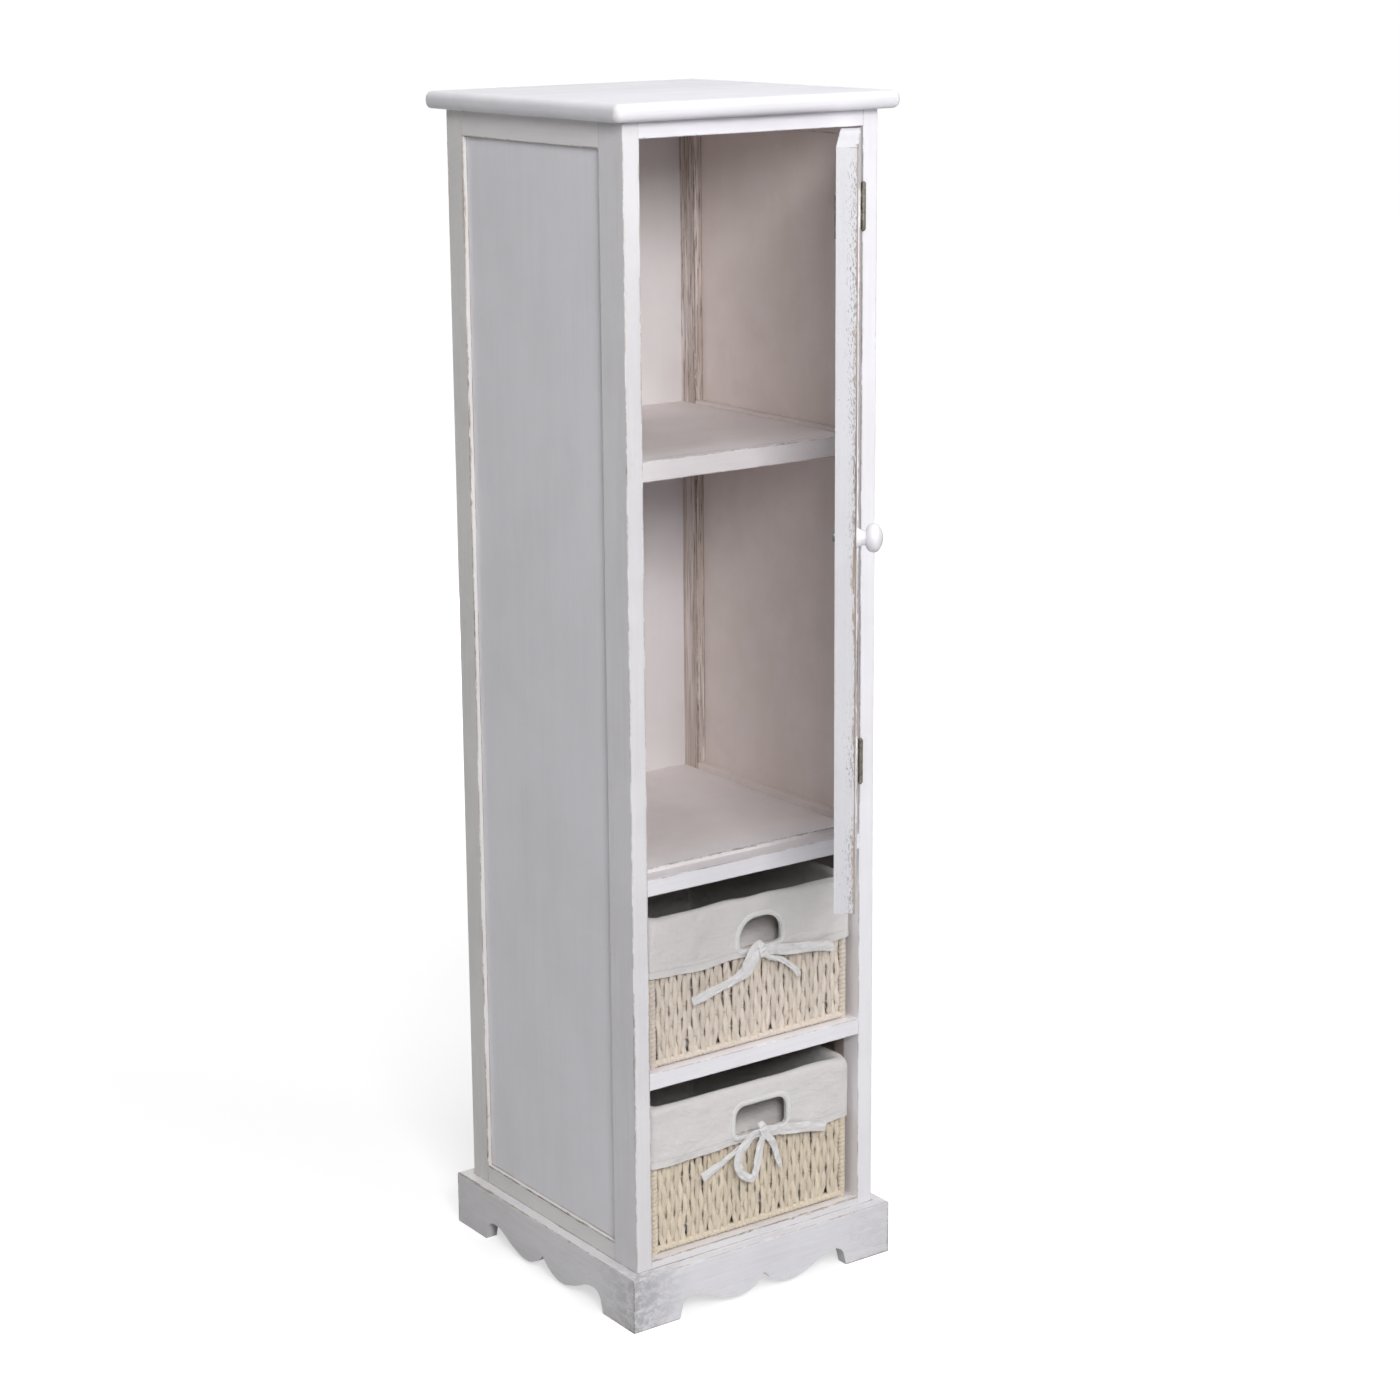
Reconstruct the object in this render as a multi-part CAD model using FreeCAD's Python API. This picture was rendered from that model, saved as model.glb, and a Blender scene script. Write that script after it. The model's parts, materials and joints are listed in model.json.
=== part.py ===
import FreeCAD, Part
import os
from collections import namedtuple

# A tall, narrow bathroom cabinet of painted wood with a scalloped plinth. A framed door closes
# the upper part, which has one shelf, and two lined baskets slide in below it.
# X runs to the right, Y to the back and Z up, in millimetres. The origin is the middle of the
# plinth, on the floor. The door is drawn open by door_open_deg, as it is in normal view.

Vector = FreeCAD.Vector
UP = Vector(0, 0, 1)
HALF_TURN_DEG = 180
QUARTER_TURN_DEG = 90

# Case
case_width = 278.0
case_depth = 286.0
overall_height = 1120.0
arris_round = 1.0
fit_play = 0.15
overrun = 5.0
touch = 0.01

# Top board
top_thickness = 16.0
top_overhang = 16.0
top_back_overhang = 9.0
top_nose_radius = 7.0
top_corner_extra = 0.4
nose_limit_share = 0.45

# Plinth, with a scalloped lower edge between the feet
plinth_height = 52.5
plinth_thickness = 12.0
plinth_round = 2.0
foot_width = 52.0
scallop_height = 20.5
foot_edge_shares = ((0.0, 0.0), (0.035, 0.63))
foot_hollow_shares = ((0.035, 0.63), (0.08, 0.90), (0.16, 1.0))
scallop_fall_shares = ((0.16, 1.0), (0.27, 0.92), (0.43, 0.545), (0.59, 0.27), (0.70, 0.20))
scallop_rise_shares = ((0.70, 0.20), (0.84, 0.36), (0.925, 0.60), (1.0, 0.95))

# Side frames: grooved stiles and rails round a thin panel
frame_thickness = 17.0
front_stile_width = 37.0
rear_stile_width = 27.0
frame_foot = 24.0
side_top_rail_width = 23.5
side_bottom_rail_width = 46.0
side_panel_thickness = 4.0
side_panel_recess = 4.5
groove_depth = 6.0
panel_float = 0.5

# Back
back_panel_thickness = 4.0
back_rebate_width = 6.0
back_panel_foot = 44.0
back_rail_thickness = 12.0
back_top_rail_width = 24.0
back_bottom_rail_foot = 26.0

# Shelves: height of each board's top, and the rail in front of it
board_thickness = 8.0
upper_shelf_height = 807.4
bottom_shelf_height = 60.0
upper_bay_clearance = 25.7
lower_bay_clearance = 23.7
upper_rail_height = 18.6
upper_rail_depth = 20.0
upper_rail_lip = 8.0
shelf_rail_height = 16.0
shelf_rail_depth = 30.0
board_setback = 18.5
lower_shelf_step = 4.0
front_top_rail_height = 15.0

# Cleats that carry the boards, and the battens under the bottom one
board_tongue = 4.0
upper_cleat_height = 26.0
upper_cleat_rise = 3.0
lower_cleat_height = 26.0
lower_cleat_rise = 7.0
middle_cleat_height = 24.0
middle_cleat_rise = 2.0
rear_cleat_height = 14.0
batten_width = 12.0
batten_height = 14.0

# Stub tenons of the front rails, in mortises in the front stiles
tenon_length = 10.0
tenon_width = 7.0
tenon_inset = 5.0
tenon_shoulder = 1.5

# Door
door_thickness = 18.0
door_gap = 1.5
hinge_gap = 2.0
door_stile_width = 38.0
door_rail_width = 40.0
door_panel_thickness = 4.0
door_panel_recess = 4.0
door_open_deg = 50.5

# Butt hinges
hinge_length = 42.0
hinge_inset = 69.5
hinge_axis_proud = 2.5
hinge_knuckle_count = 5
knuckle_radius = 2.2
knuckle_gap = 0.3
leaf_thickness = 0.8
leaf_depth = 14.0
leaf_play = 0.4
pin_radius = 1.0
pin_play = 0.04
pin_tip_radius = 1.9
pin_tip_length = 1.4
leaf_screw_spread = 11.0
leaf_screw_depth = 7.5

# Small countersunk screws of the hinges and the catch
screw_head_radius = 2.3
screw_head_height = 1.2
screw_radius = 1.25
screw_length = 14.0
screw_play = 0.05

# Turned knob and its screw from the inside
knob_inset = 19.0
knob_flange_radius = 9.25
knob_neck_radius = 6.75
knob_neck_length = 8.0
knob_head_radius = 12.5
knob_widest = 14.5
knob_length = 22.5
knob_cove_shares = (0.36, 0.22)
knob_under_shares = (0.26, 0.66)
knob_dome_shares = (0.68, 0.71)
knob_screw_radius = 2.0
knob_screw_in_knob = 12.0
knob_screw_head_radius = 4.0
knob_screw_crown_radius = 2.6
knob_screw_head_height = 2.4

# Magnetic catch and its strike plate
catch_inset = 57.0
catch_foot_length = 36.0
catch_body_length = 24.0
catch_width = 14.0
catch_depth = 14.0
catch_foot_thickness = 2.5
catch_screw_spread = 15.0
pole_thickness = 1.2
pole_proud = 0.5
pole_length = 17.6
magnet_thickness = 4.0
magnet_depth = 10.5
magnet_seat_share = 0.54
strike_gap = 0.3
strike_thickness = 1.2
strike_width = 11.0
strike_inset = 1.5

# Baskets fill the lower bays but for these gaps: wound rods, woven walls between them
basket_side_gap = 7.0
basket_front_gap = 8.0
basket_back_gap = 7.0
basket_height = 137.0
basket_lift = 0.3
post_radius = 4.0
rod_radius = 3.7
weave_thickness = 5.0
soft_gap = 0.3
base_corner_radius = 6.0

# Cotton liners, folded over the rim
cloth_thickness = 1.7
liner_rise = 7.0
liner_drop = 58.0
liner_shoulder = 12.0
liner_roll = 2.5
liner_corner_radius = 9.0
liner_fold_depth = 0.8
liner_fold_count = 5
opening_height = 26.0
opening_foot = 97.7
opening_shift = 9.5
opening_bottom_radius = 5.0
upper_opening_width = 44.0
upper_opening_radius = 19.0
lower_opening_width = 55.0
lower_opening_radius = 11.0
binding_width = 5.0
binding_rise = 0.6

# Ribbons, tied below the openings. Each strand has places as shares of the bow's reach from
# the knot, and a width there as a share of the ribbon's width.
bow_reach = 70.0
ribbon_width = 9.0
ribbon_thickness = 1.1
ribbon_layer = 0.8
knot_radius = 5.0
knot_shift = 8.0
upper_knot_height = 91.7
lower_knot_height = 97.2
upper_strand_shares = (
    ((0.03, 0.02, 1.1), (-0.13, 0.01, 1.4), (-0.26, -0.16, 1.1), (-0.40, -0.26, 1.0),
     (-0.67, -0.33, 0.8), (-1.10, -0.42, 0.9)),
    ((0.0, 0.0, 1.1), (0.26, -0.06, 0.9), (0.69, -0.12, 0.85), (1.21, -0.21, 0.8)),
    ((0.04, -0.04, 0.6), (0.33, -0.22, 0.55), (0.47, -0.29, 0.55), (0.66, -0.48, 0.65)),
)
lower_strand_shares = (
    ((0.0, -0.02, 0.6), (-0.26, -0.11, 0.7), (-0.51, -0.26, 0.9), (-0.99, -0.41, 1.15)),
    ((0.0, -0.02, 1.1), (0.40, -0.11, 1.2), (0.77, -0.16, 1.2), (1.10, -0.22, 1.2)),
    ((0.03, -0.05, 0.8), (0.19, -0.30, 0.9), (0.29, -0.50, 0.6), (0.33, -0.63, 0.45)),
)
lower_loop_shares = (
    (0.0, 0.0, 0.9), (-0.27, -0.10, 0.9), (-0.41, -0.31, 0.9), (-0.38, -0.52, 0.9),
    (-0.19, -0.66, 0.9), (-0.11, -0.53, 0.9), (-0.10, -0.28, 0.9), (0.0, -0.04, 0.9),
)

# Places that follow from the sizes
case_left = -case_width / 2
case_right = case_width / 2
case_front = -case_depth / 2
case_back = case_depth / 2
basket_top = basket_lift + basket_height + liner_rise
middle_shelf_height = bottom_shelf_height + basket_top + lower_bay_clearance + shelf_rail_height
door_sill = middle_shelf_height + basket_top + upper_bay_clearance + shelf_rail_height
lower_shelf_height = door_sill + lower_shelf_step
top_underside = overall_height - top_thickness
inner_left = case_left + frame_thickness
inner_right = case_right - frame_thickness
inner_span = (inner_left, inner_right)
front_stile_back = case_front + front_stile_width
rear_stile_front = case_back - rear_stile_width
panel_inner_left = case_left + side_panel_recess + side_panel_thickness
board_back = case_back - back_panel_thickness
back_rail_front = board_back - back_rail_thickness
basket_front = case_front + basket_front_gap
basket_width = inner_right - inner_left - 2 * basket_side_gap
basket_depth = back_rail_front - basket_back_gap - basket_front
door_back = case_front + door_thickness
door_left = inner_left + door_gap
door_right = inner_right - hinge_gap
door_bottom = door_sill + door_gap
door_top = top_underside - front_top_rail_height - door_gap
door_middle = (door_bottom + door_top) / 2
hinge_x = inner_right - hinge_gap / 2
hinge_y = case_front - hinge_axis_proud
hinge_heights = (door_bottom + hinge_inset, door_top - hinge_inset)
catch_middle = door_top - catch_inset

Shelf = namedtuple(
    "Shelf", "name top rail_front rail_depth rail_height lip step cleat_height cleat_rise"
)
shelves = (
    Shelf("upper", upper_shelf_height, case_front + board_setback, upper_rail_depth,
          upper_rail_height, upper_rail_lip, 0, upper_cleat_height, upper_cleat_rise),
    Shelf("lower", lower_shelf_height, case_front, shelf_rail_depth,
          shelf_rail_height, board_setback, lower_shelf_step, lower_cleat_height,
          lower_cleat_rise),
    Shelf("middle", middle_shelf_height, case_front, shelf_rail_depth,
          shelf_rail_height, board_setback, 0, middle_cleat_height, middle_cleat_rise),
    Shelf("bottom", bottom_shelf_height, case_front, shelf_rail_depth,
          shelf_rail_height, board_setback, 0, 0, 0),
)


# Shared shapes and moves

def block(x_span, y_span, z_span):
    """A squared piece between two places on each axis."""
    low = Vector(x_span[0], y_span[0], z_span[0])
    return Part.makeBox(x_span[1] - x_span[0], y_span[1] - y_span[0], z_span[1] - z_span[0], low)


def edges_at(shape, **places):
    """The edges of a piece that lie at all the given places, such as x=... and z=..."""
    found = []
    for edge in shape.Edges:
        ends = [vertex.Point for vertex in edge.Vertexes]
        gaps = [abs(getattr(end, axis) - place) for end in ends for axis, place in places.items()]
        if max(gaps) < touch:
            found.append(edge)
    return found


def eased(shape, radius, *corners):
    """The piece with its edges at the given corners rounded."""
    edges = [edge for places in corners for edge in edges_at(shape, **places)]
    return shape.makeFillet(radius, edges)


def moved(shape, x, y, z):
    """A copy of the piece, shifted."""
    copy = shape.copy()
    copy.translate(Vector(x, y, z))
    return copy


def turned(shape, angle_deg, x=0, y=0):
    """A copy of the piece, turned about an upright line."""
    copy = shape.copy()
    copy.rotate(Vector(x, y, 0), UP, angle_deg)
    return copy


def mirrored(shape):
    """The same piece on the other side of the cabinet."""
    return shape.mirror(Vector(0, 0, 0), Vector(1, 0, 0))


def group(shapes):
    """Separate pieces that share one node."""
    return Part.makeCompound(shapes)


def closed_face(edges):
    """A flat face inside a ring of edges."""
    return Part.Face(Part.Wire(Part.__sortEdges__(edges)))


def line(start, end):
    return Part.LineSegment(start, end).toShape()


def arc(start, middle, end):
    return Part.Arc(start, middle, end).toShape()


def smooth(points, start_heading=None, end_heading=None):
    """A smooth curve through the points, with its end directions where they matter."""
    curve = Part.BSplineCurve()
    if start_heading is None:
        curve.interpolate(Points=points)
    else:
        curve.interpolate(Points=points, InitialTangent=start_heading, FinalTangent=end_heading)
    return curve.toShape()


def lathe(edges, place, heading_deg):
    """A turned piece. Its outline lies beside the X axis, which then points along the heading."""
    shape = closed_face(edges).revolve(Vector(0, 0, 0), Vector(1, 0, 0), 2 * HALF_TURN_DEG)
    shape = turned(shape, heading_deg)
    return moved(shape, place.x, place.y, place.z)


def polygon_edges(points):
    """Straight edges round the points, closed."""
    corners = [Vector(x, y, 0) for x, y in points]
    return [line(start, end) for start, end in zip(corners, corners[1:] + corners[:1])]


# Screws

def countersunk_screw(place, heading_deg, play=0):
    """A small screw whose flat head lies at its place; with play it is the hole for it."""
    outline = polygon_edges((
        (-play, 0),
        (-play, screw_head_radius + play),
        (screw_head_height, screw_radius + play),
        (screw_length + play, screw_radius + play),
        (screw_length + play, 0),
    ))
    return lathe(outline, place, heading_deg)


def hinge_screw_places(x_face):
    """Heads of the screws of both hinges on one leaf face."""
    return [Vector(x_face, case_front + leaf_screw_depth, height + side * leaf_screw_spread)
            for height in hinge_heights for side in (-1, 1)]


def frame_hinge_screws(play=0):
    places = hinge_screw_places(inner_right - leaf_thickness)
    return [countersunk_screw(place, 0, play) for place in places]


def door_hinge_screws(play=0):
    places = hinge_screw_places(door_right + leaf_thickness)
    return [countersunk_screw(place, HALF_TURN_DEG, play) for place in places]


def catch_screws(play=0):
    x_face = inner_left + catch_foot_thickness
    y_middle = door_back + strike_thickness + strike_gap + pole_proud + catch_depth / 2
    places = [Vector(x_face, y_middle, catch_middle + side * catch_screw_spread)
              for side in (-1, 1)]
    return [countersunk_screw(place, HALF_TURN_DEG, play) for place in places]


def strike_screw(play=0):
    x_middle = door_left + strike_inset + strike_width / 2
    place = Vector(x_middle, door_back + strike_thickness, catch_middle)
    return countersunk_screw(place, -QUARTER_TURN_DEG, play)


# Top board

def top_board():
    """A board with rounded front corners and a rounded nose on the front and both sides."""
    nose = min(top_nose_radius, top_thickness * nose_limit_share)
    left = case_left - top_overhang
    right = case_right + top_overhang
    front = case_front - top_overhang
    back = case_back + top_back_overhang
    board = block((left, right), (front, back), (top_underside, overall_height))
    board = eased(board, nose + top_corner_extra, {"x": left, "y": front}, {"x": right, "y": front})
    rim = [edge for edge in edges_at(board, z=overall_height) + edges_at(board, z=top_underside)
           if min(vertex.Y for vertex in edge.Vertexes) < back - touch]
    return board.makeFillet(nose, rim)


# Plinth

def scallop_edges(length):
    """The lower edge of a plinth board, from foot to foot, centred on x = 0."""
    reach = length / 2 - foot_width

    def place(share, side):
        return Vector(side * (share[0] - 1) * reach, 0, share[1] * scallop_height)

    edges = []
    for side in (-1, 1):
        heading = Vector(side, 0, 0)
        foot = [place(share, -side) for share in foot_edge_shares]
        hollow = [place(share, -side) for share in foot_hollow_shares]
        fall = [place(share, -side) for share in scallop_fall_shares]
        rise = [place(share, -side) for share in scallop_rise_shares]
        edges.append(line(*foot))
        edges.append(arc(*hollow))
        edges.append(smooth(fall, -heading, -heading))
        edges.append(smooth(rise, -heading, rise[-1] - rise[-2]))
    return edges


def plinth_board(length, scalloped):
    """A board with mitred ends. Its outer face lies at y = 0 and looks to -Y."""
    half = length / 2
    inner_half = half - plinth_thickness
    plan = [Vector(-half, 0, 0), Vector(half, 0, 0),
            Vector(inner_half, plinth_thickness, 0), Vector(-inner_half, plinth_thickness, 0)]
    mitred = Part.Face(Part.makePolygon(plan + plan[:1])).extrude(Vector(0, 0, plinth_height))
    mitred = eased(mitred, plinth_round, {"y": 0, "z": plinth_height})
    if not scalloped:
        return mitred
    foot = half - foot_width
    edges = scallop_edges(length)
    edges.append(line(Vector(foot, 0, 0), Vector(-foot, 0, 0)))
    notch = closed_face(edges).extrude(Vector(0, plinth_thickness, 0))
    return mitred.cut(notch)


def plinth():
    front_length = case_width + 2 * plinth_thickness
    side_length = case_depth + 2 * plinth_thickness
    front = moved(plinth_board(front_length, True), 0, case_front - plinth_thickness, 0)
    left = turned(plinth_board(side_length, True), -QUARTER_TURN_DEG)
    left = moved(left, case_left - plinth_thickness, 0, 0)
    back = turned(plinth_board(front_length, False), HALF_TURN_DEG)
    back = moved(back, 0, case_back + plinth_thickness, 0)
    return {
        "front_apron": front,
        "left_apron": left,
        "right_apron": mirrored(left),
        "back_apron": back,
    }


# Grooved frames with a panel, used for the sides and the door

def framed_panel(x_span, z_span, thickness, stile_widths, rail_widths, recess, panel_thickness):
    """Stiles, tongued rails and a loose panel. The outer face lies at y = 0 and looks to -Y."""
    left, right = x_span
    bottom, top = z_span
    inner = (left + stile_widths[0], right - stile_widths[1])
    opening = (bottom + rail_widths[0], top - rail_widths[1])
    panel_y = (recess, recess + panel_thickness)
    groove_y = (recess - fit_play, recess + panel_thickness + fit_play)
    groove = block((inner[0] - groove_depth, inner[1] + groove_depth), groove_y,
                   (bottom - overrun, top + overrun))
    rail_groove = block((inner[0] - groove_depth, inner[1] + groove_depth), groove_y,
                        (opening[0] - groove_depth, opening[1] + groove_depth))
    float_in = groove_depth - panel_float

    def stile(span):
        member = block(span, (0, thickness), z_span)
        member = eased(member, arris_round, {"x": span[0], "y": 0}, {"x": span[1], "y": 0})
        return member.cut(groove)

    def rail(span):
        member = block(inner, (0, thickness), span)
        tongue = block((inner[0] - float_in, inner[1] + float_in), panel_y, span)
        return member.fuse(tongue).removeSplitter().cut(rail_groove)

    return {
        "left_stile": stile((left, inner[0])),
        "right_stile": stile((inner[1], right)),
        "bottom_rail": rail((bottom, opening[0])),
        "top_rail": rail((opening[1], top)),
        "panel": block((inner[0] - float_in, inner[1] + float_in), panel_y,
                       (opening[0] - float_in, opening[1] + float_in)),
    }


def side_frames():
    """Both side frames. Seen from its own side, the left one has its front stile on the right."""
    drawn = framed_panel(
        x_span=(-case_back, -case_front),
        z_span=(frame_foot, top_underside),
        thickness=frame_thickness,
        stile_widths=(rear_stile_width, front_stile_width),
        rail_widths=(side_bottom_rail_width, side_top_rail_width),
        recess=side_panel_recess,
        panel_thickness=side_panel_thickness,
    )
    placed = {name: moved(turned(shape, -QUARTER_TURN_DEG), case_left, 0, 0)
              for name, shape in drawn.items()}
    rebate = block((inner_left - back_rebate_width, inner_left + overrun),
                   (board_back, case_back + overrun),
                   (frame_foot - overrun, top_underside + overrun))
    left = {
        "front_stile": placed["right_stile"].cut(group(tenons(fit_play))),
        "rear_stile": placed["left_stile"].cut(rebate),
        "top_rail": placed["top_rail"],
        "bottom_rail": placed["bottom_rail"],
        "side_panel": placed["panel"],
    }
    pieces = {}
    for name, shape in left.items():
        pieces["left_" + name] = shape
        pieces["right_" + name] = mirrored(shape)
    pieces["left_front_stile"] = pieces["left_front_stile"].cut(group(catch_screws(screw_play)))
    pieces["right_front_stile"] = pieces["right_front_stile"].cut(
        group(frame_hinge_screws(screw_play)))
    return pieces


# Front rails

def rail_top(shelf):
    return shelf.top - shelf.step


def tenons(play=0):
    """Stub tenons right through each front rail and out at both ends; with play, the mortises."""
    spans = [(case_front, top_underside - front_top_rail_height, top_underside)]
    for shelf in shelves:
        foot = rail_top(shelf) - shelf.rail_height
        spans.append((shelf.rail_front, foot, shelf.top - board_thickness))
    return [block((inner_left - tenon_length - play, inner_right + tenon_length + play),
                  (front + tenon_inset - play, front + tenon_inset + tenon_width + play),
                  (foot + tenon_shoulder - play, head - tenon_shoulder + play))
            for front, foot, head in spans]


def front_rails():
    """The rail under the top board and the rebated rail in front of each shelf board."""
    door_head = (top_underside - front_top_rail_height, top_underside)
    top_rail = block(inner_span, (case_front, case_front + frame_thickness), door_head)
    top_rail = eased(top_rail, arris_round, {"y": case_front, "z": door_head[0]})
    rails = [top_rail]
    for shelf in shelves:
        top = rail_top(shelf)
        foot = top - shelf.rail_height
        back_edge = shelf.rail_front + shelf.rail_depth
        rail = block(inner_span, (shelf.rail_front, back_edge), (foot, top))
        rail = eased(rail, arris_round, {"y": shelf.rail_front, "z": foot},
                     {"y": shelf.rail_front, "z": top})
        rebate = block(inner_span, (shelf.rail_front + shelf.lip, back_edge + overrun),
                       (shelf.top - board_thickness, top + overrun))
        rails.append(rail.cut(rebate))
    names = ["front_top_rail"] + [shelf.name + "_shelf_rail" for shelf in shelves]
    return {name: rail.fuse(tenon).removeSplitter()
            for name, rail, tenon in zip(names, rails, tenons())}


# Shelf boards and what carries them

def shelf_boards():
    """Boards whose side tongues sit in the cleats behind the side panels."""
    pieces = {}
    for shelf in shelves:
        z_span = (shelf.top - board_thickness, shelf.top)
        board = block(inner_span, (shelf.rail_front + shelf.lip, board_back), z_span)
        if shelf.cleat_height:
            tongues = block((inner_left - board_tongue, inner_right + board_tongue),
                            (front_stile_back + fit_play, rear_stile_front - fit_play), z_span)
            board = board.fuse(tongues).removeSplitter()
        pieces[shelf.name + "_shelf_board"] = board
    return pieces


def cleats():
    """Grooved side cleats, rear cleats, and battens under the bottom board."""
    side = []
    rear = []
    for shelf in shelves:
        underside = shelf.top - board_thickness
        if not shelf.cleat_height:
            back_of_rail = shelf.rail_front + shelf.rail_depth
            batten = block((inner_left, inner_left + batten_width),
                           (back_of_rail, back_rail_front),
                           (underside - batten_height, underside))
            side.append(batten)
            continue
        head = shelf.top + shelf.cleat_rise
        cleat = block((panel_inner_left, inner_left), (front_stile_back, rear_stile_front),
                      (head - shelf.cleat_height, head))
        cleat = eased(cleat, arris_round, {"x": inner_left, "z": head})
        groove = block((inner_left - board_tongue - fit_play, inner_left + overrun),
                       (front_stile_back - overrun, rear_stile_front + overrun),
                       (underside - fit_play, shelf.top + fit_play))
        side.append(cleat.cut(groove))
        rear.append(block(inner_span, (back_rail_front, board_back),
                          (underside - rear_cleat_height, underside)))
    return {
        "side_cleats": group(side + [mirrored(cleat) for cleat in side]),
        "rear_cleats": group(rear),
    }


# Back

def back():
    """A thin panel in the rebates of the rear stiles, between two inner rails."""
    bottom_board_underside = bottom_shelf_height - board_thickness
    return {
        "back_panel": block((inner_left - back_rebate_width + fit_play,
                             inner_right + back_rebate_width - fit_play),
                            (board_back, case_back),
                            (back_panel_foot, top_underside - panel_float)),
        "back_top_rail": block(inner_span, (back_rail_front, board_back),
                               (top_underside - back_top_rail_width, top_underside)),
        "back_bottom_rail": block(inner_span, (back_rail_front, board_back),
                                  (back_bottom_rail_foot, bottom_board_underside)),
    }


# Hinges, drawn closed

def knuckle_spans(middle):
    """Height ranges of the knuckles of one hinge, from the bottom up."""
    pitch = hinge_length / hinge_knuckle_count
    foot = middle - hinge_length / 2
    return [(foot + turn * pitch + knuckle_gap / 2, foot + (turn + 1) * pitch - knuckle_gap / 2)
            for turn in range(hinge_knuckle_count)]


def hinge_leaf(middle, x_span, spans):
    """A plate in the gap beside the door, with the knuckles that belong to it."""
    clear = hinge_y + knuckle_radius + knuckle_gap
    leaf = block(x_span, (clear, case_front + leaf_depth),
                 (middle - hinge_length / 2, middle + hinge_length / 2))
    for span in spans:
        web = block(x_span, (hinge_y, clear), span)
        knuckle = Part.makeCylinder(knuckle_radius, span[1] - span[0],
                                    Vector(hinge_x, hinge_y, span[0]))
        leaf = leaf.fuse([web, knuckle])
    bore = Part.makeCylinder(pin_radius + pin_play, hinge_length + 2 * overrun,
                             Vector(hinge_x, hinge_y, middle - hinge_length / 2 - overrun))
    return leaf.removeSplitter().cut(bore)


def hinge_pin(middle):
    """A pin with a tapered tip at each end, seated on the outer knuckles of the frame leaf."""
    half = (hinge_length - knuckle_gap) / 2
    outline = polygon_edges((
        (-half - pin_tip_length, 0),
        (-half - pin_tip_length, pin_radius),
        (-half, pin_tip_radius),
        (-half, pin_radius),
        (half, pin_radius),
        (half, pin_tip_radius),
        (half + pin_tip_length, pin_radius),
        (half + pin_tip_length, 0),
    ))
    pin = lathe(outline, Vector(0, 0, 0), 0)
    pin.rotate(Vector(0, 0, 0), Vector(0, 1, 0), -QUARTER_TURN_DEG)
    return moved(pin, hinge_x, hinge_y, middle)


def hinges():
    """Frame leaves and pins, which stay with the case, and door leaves, which swing."""
    fixed = {"hinge_pins": group([hinge_pin(middle) for middle in hinge_heights])}
    swinging = {}
    frame_side = (hinge_x + leaf_play / 2, inner_right)
    door_side = (door_right, hinge_x - leaf_play / 2)
    frame_holes = group(frame_hinge_screws(screw_play))
    door_holes = group(door_hinge_screws(screw_play))
    for name, middle in zip(("lower", "upper"), hinge_heights):
        spans = knuckle_spans(middle)
        frame_leaf = hinge_leaf(middle, frame_side, spans[0::2])
        door_leaf = hinge_leaf(middle, door_side, spans[1::2])
        fixed[name + "_hinge_frame_leaf"] = frame_leaf.cut(frame_holes)
        swinging[name + "_hinge_door_leaf"] = door_leaf.cut(door_holes)
    return fixed, swinging


# Catch

def catch():
    """A housing with a magnet between two steel plates that meet the strike plate."""
    pole_front = door_back + strike_thickness + strike_gap
    front = pole_front + pole_proud
    back_end = front + catch_depth
    x_end = inner_left + catch_width
    body = block((inner_left, x_end), (front, back_end),
                 (catch_middle - catch_body_length / 2, catch_middle + catch_body_length / 2))
    body = eased(body, arris_round, {"x": x_end, "y": front}, {"x": x_end, "y": back_end})
    foot = block((inner_left, inner_left + catch_foot_thickness), (front, back_end),
                 (catch_middle - catch_foot_length / 2, catch_middle + catch_foot_length / 2))
    middle_x = inner_left + catch_width * magnet_seat_share
    magnet_x = (middle_x - magnet_thickness / 2, middle_x + magnet_thickness / 2)
    outer_x = (magnet_x[0] - pole_thickness, magnet_x[1] + pole_thickness)
    seat_z = (catch_middle - pole_length / 2, catch_middle + pole_length / 2)
    seat_back = front + magnet_depth
    seat = block((outer_x[0] - fit_play, outer_x[1] + fit_play), (front - overrun, seat_back),
                 (seat_z[0] - fit_play, seat_z[1] + fit_play))
    housing = body.fuse(foot).removeSplitter().cut(seat).cut(group(catch_screws(screw_play)))
    magnet = block(magnet_x, (front, seat_back), seat_z)
    left_pole = block((outer_x[0], magnet_x[0]), (pole_front, seat_back), seat_z)
    right_pole = block((magnet_x[1], outer_x[1]), (pole_front, seat_back), seat_z)
    return {
        "catch_housing": housing,
        "catch_magnet": group([magnet, left_pole, right_pole]),
    }


# Door, drawn closed

def knob_outline():
    """Half of the turned knob's outline, with its foot at x = 0."""
    foot = Vector(0, knob_flange_radius, 0)
    neck = Vector(knob_neck_length, knob_neck_radius, 0)
    widest = Vector(knob_widest, knob_head_radius, 0)
    front = Vector(knob_length, 0, 0)
    cove_step = knob_flange_radius - knob_neck_radius
    cove = Vector(knob_neck_length * knob_cove_shares[0],
                  knob_neck_radius + cove_step * knob_cove_shares[1], 0)
    under = Vector(knob_neck_length + (knob_widest - knob_neck_length) * knob_under_shares[0],
                   knob_neck_radius
                   + (knob_head_radius - knob_neck_radius) * knob_under_shares[1], 0)
    dome = Vector(knob_widest + (knob_length - knob_widest) * knob_dome_shares[0],
                  knob_head_radius * knob_dome_shares[1], 0)
    return [
        line(Vector(0, 0, 0), foot),
        arc(foot, cove, neck),
        arc(neck, under, widest),
        smooth([widest, dome, front], Vector(1, 0, 0), Vector(0, -1, 0)),
        line(front, Vector(0, 0, 0)),
    ]


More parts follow.
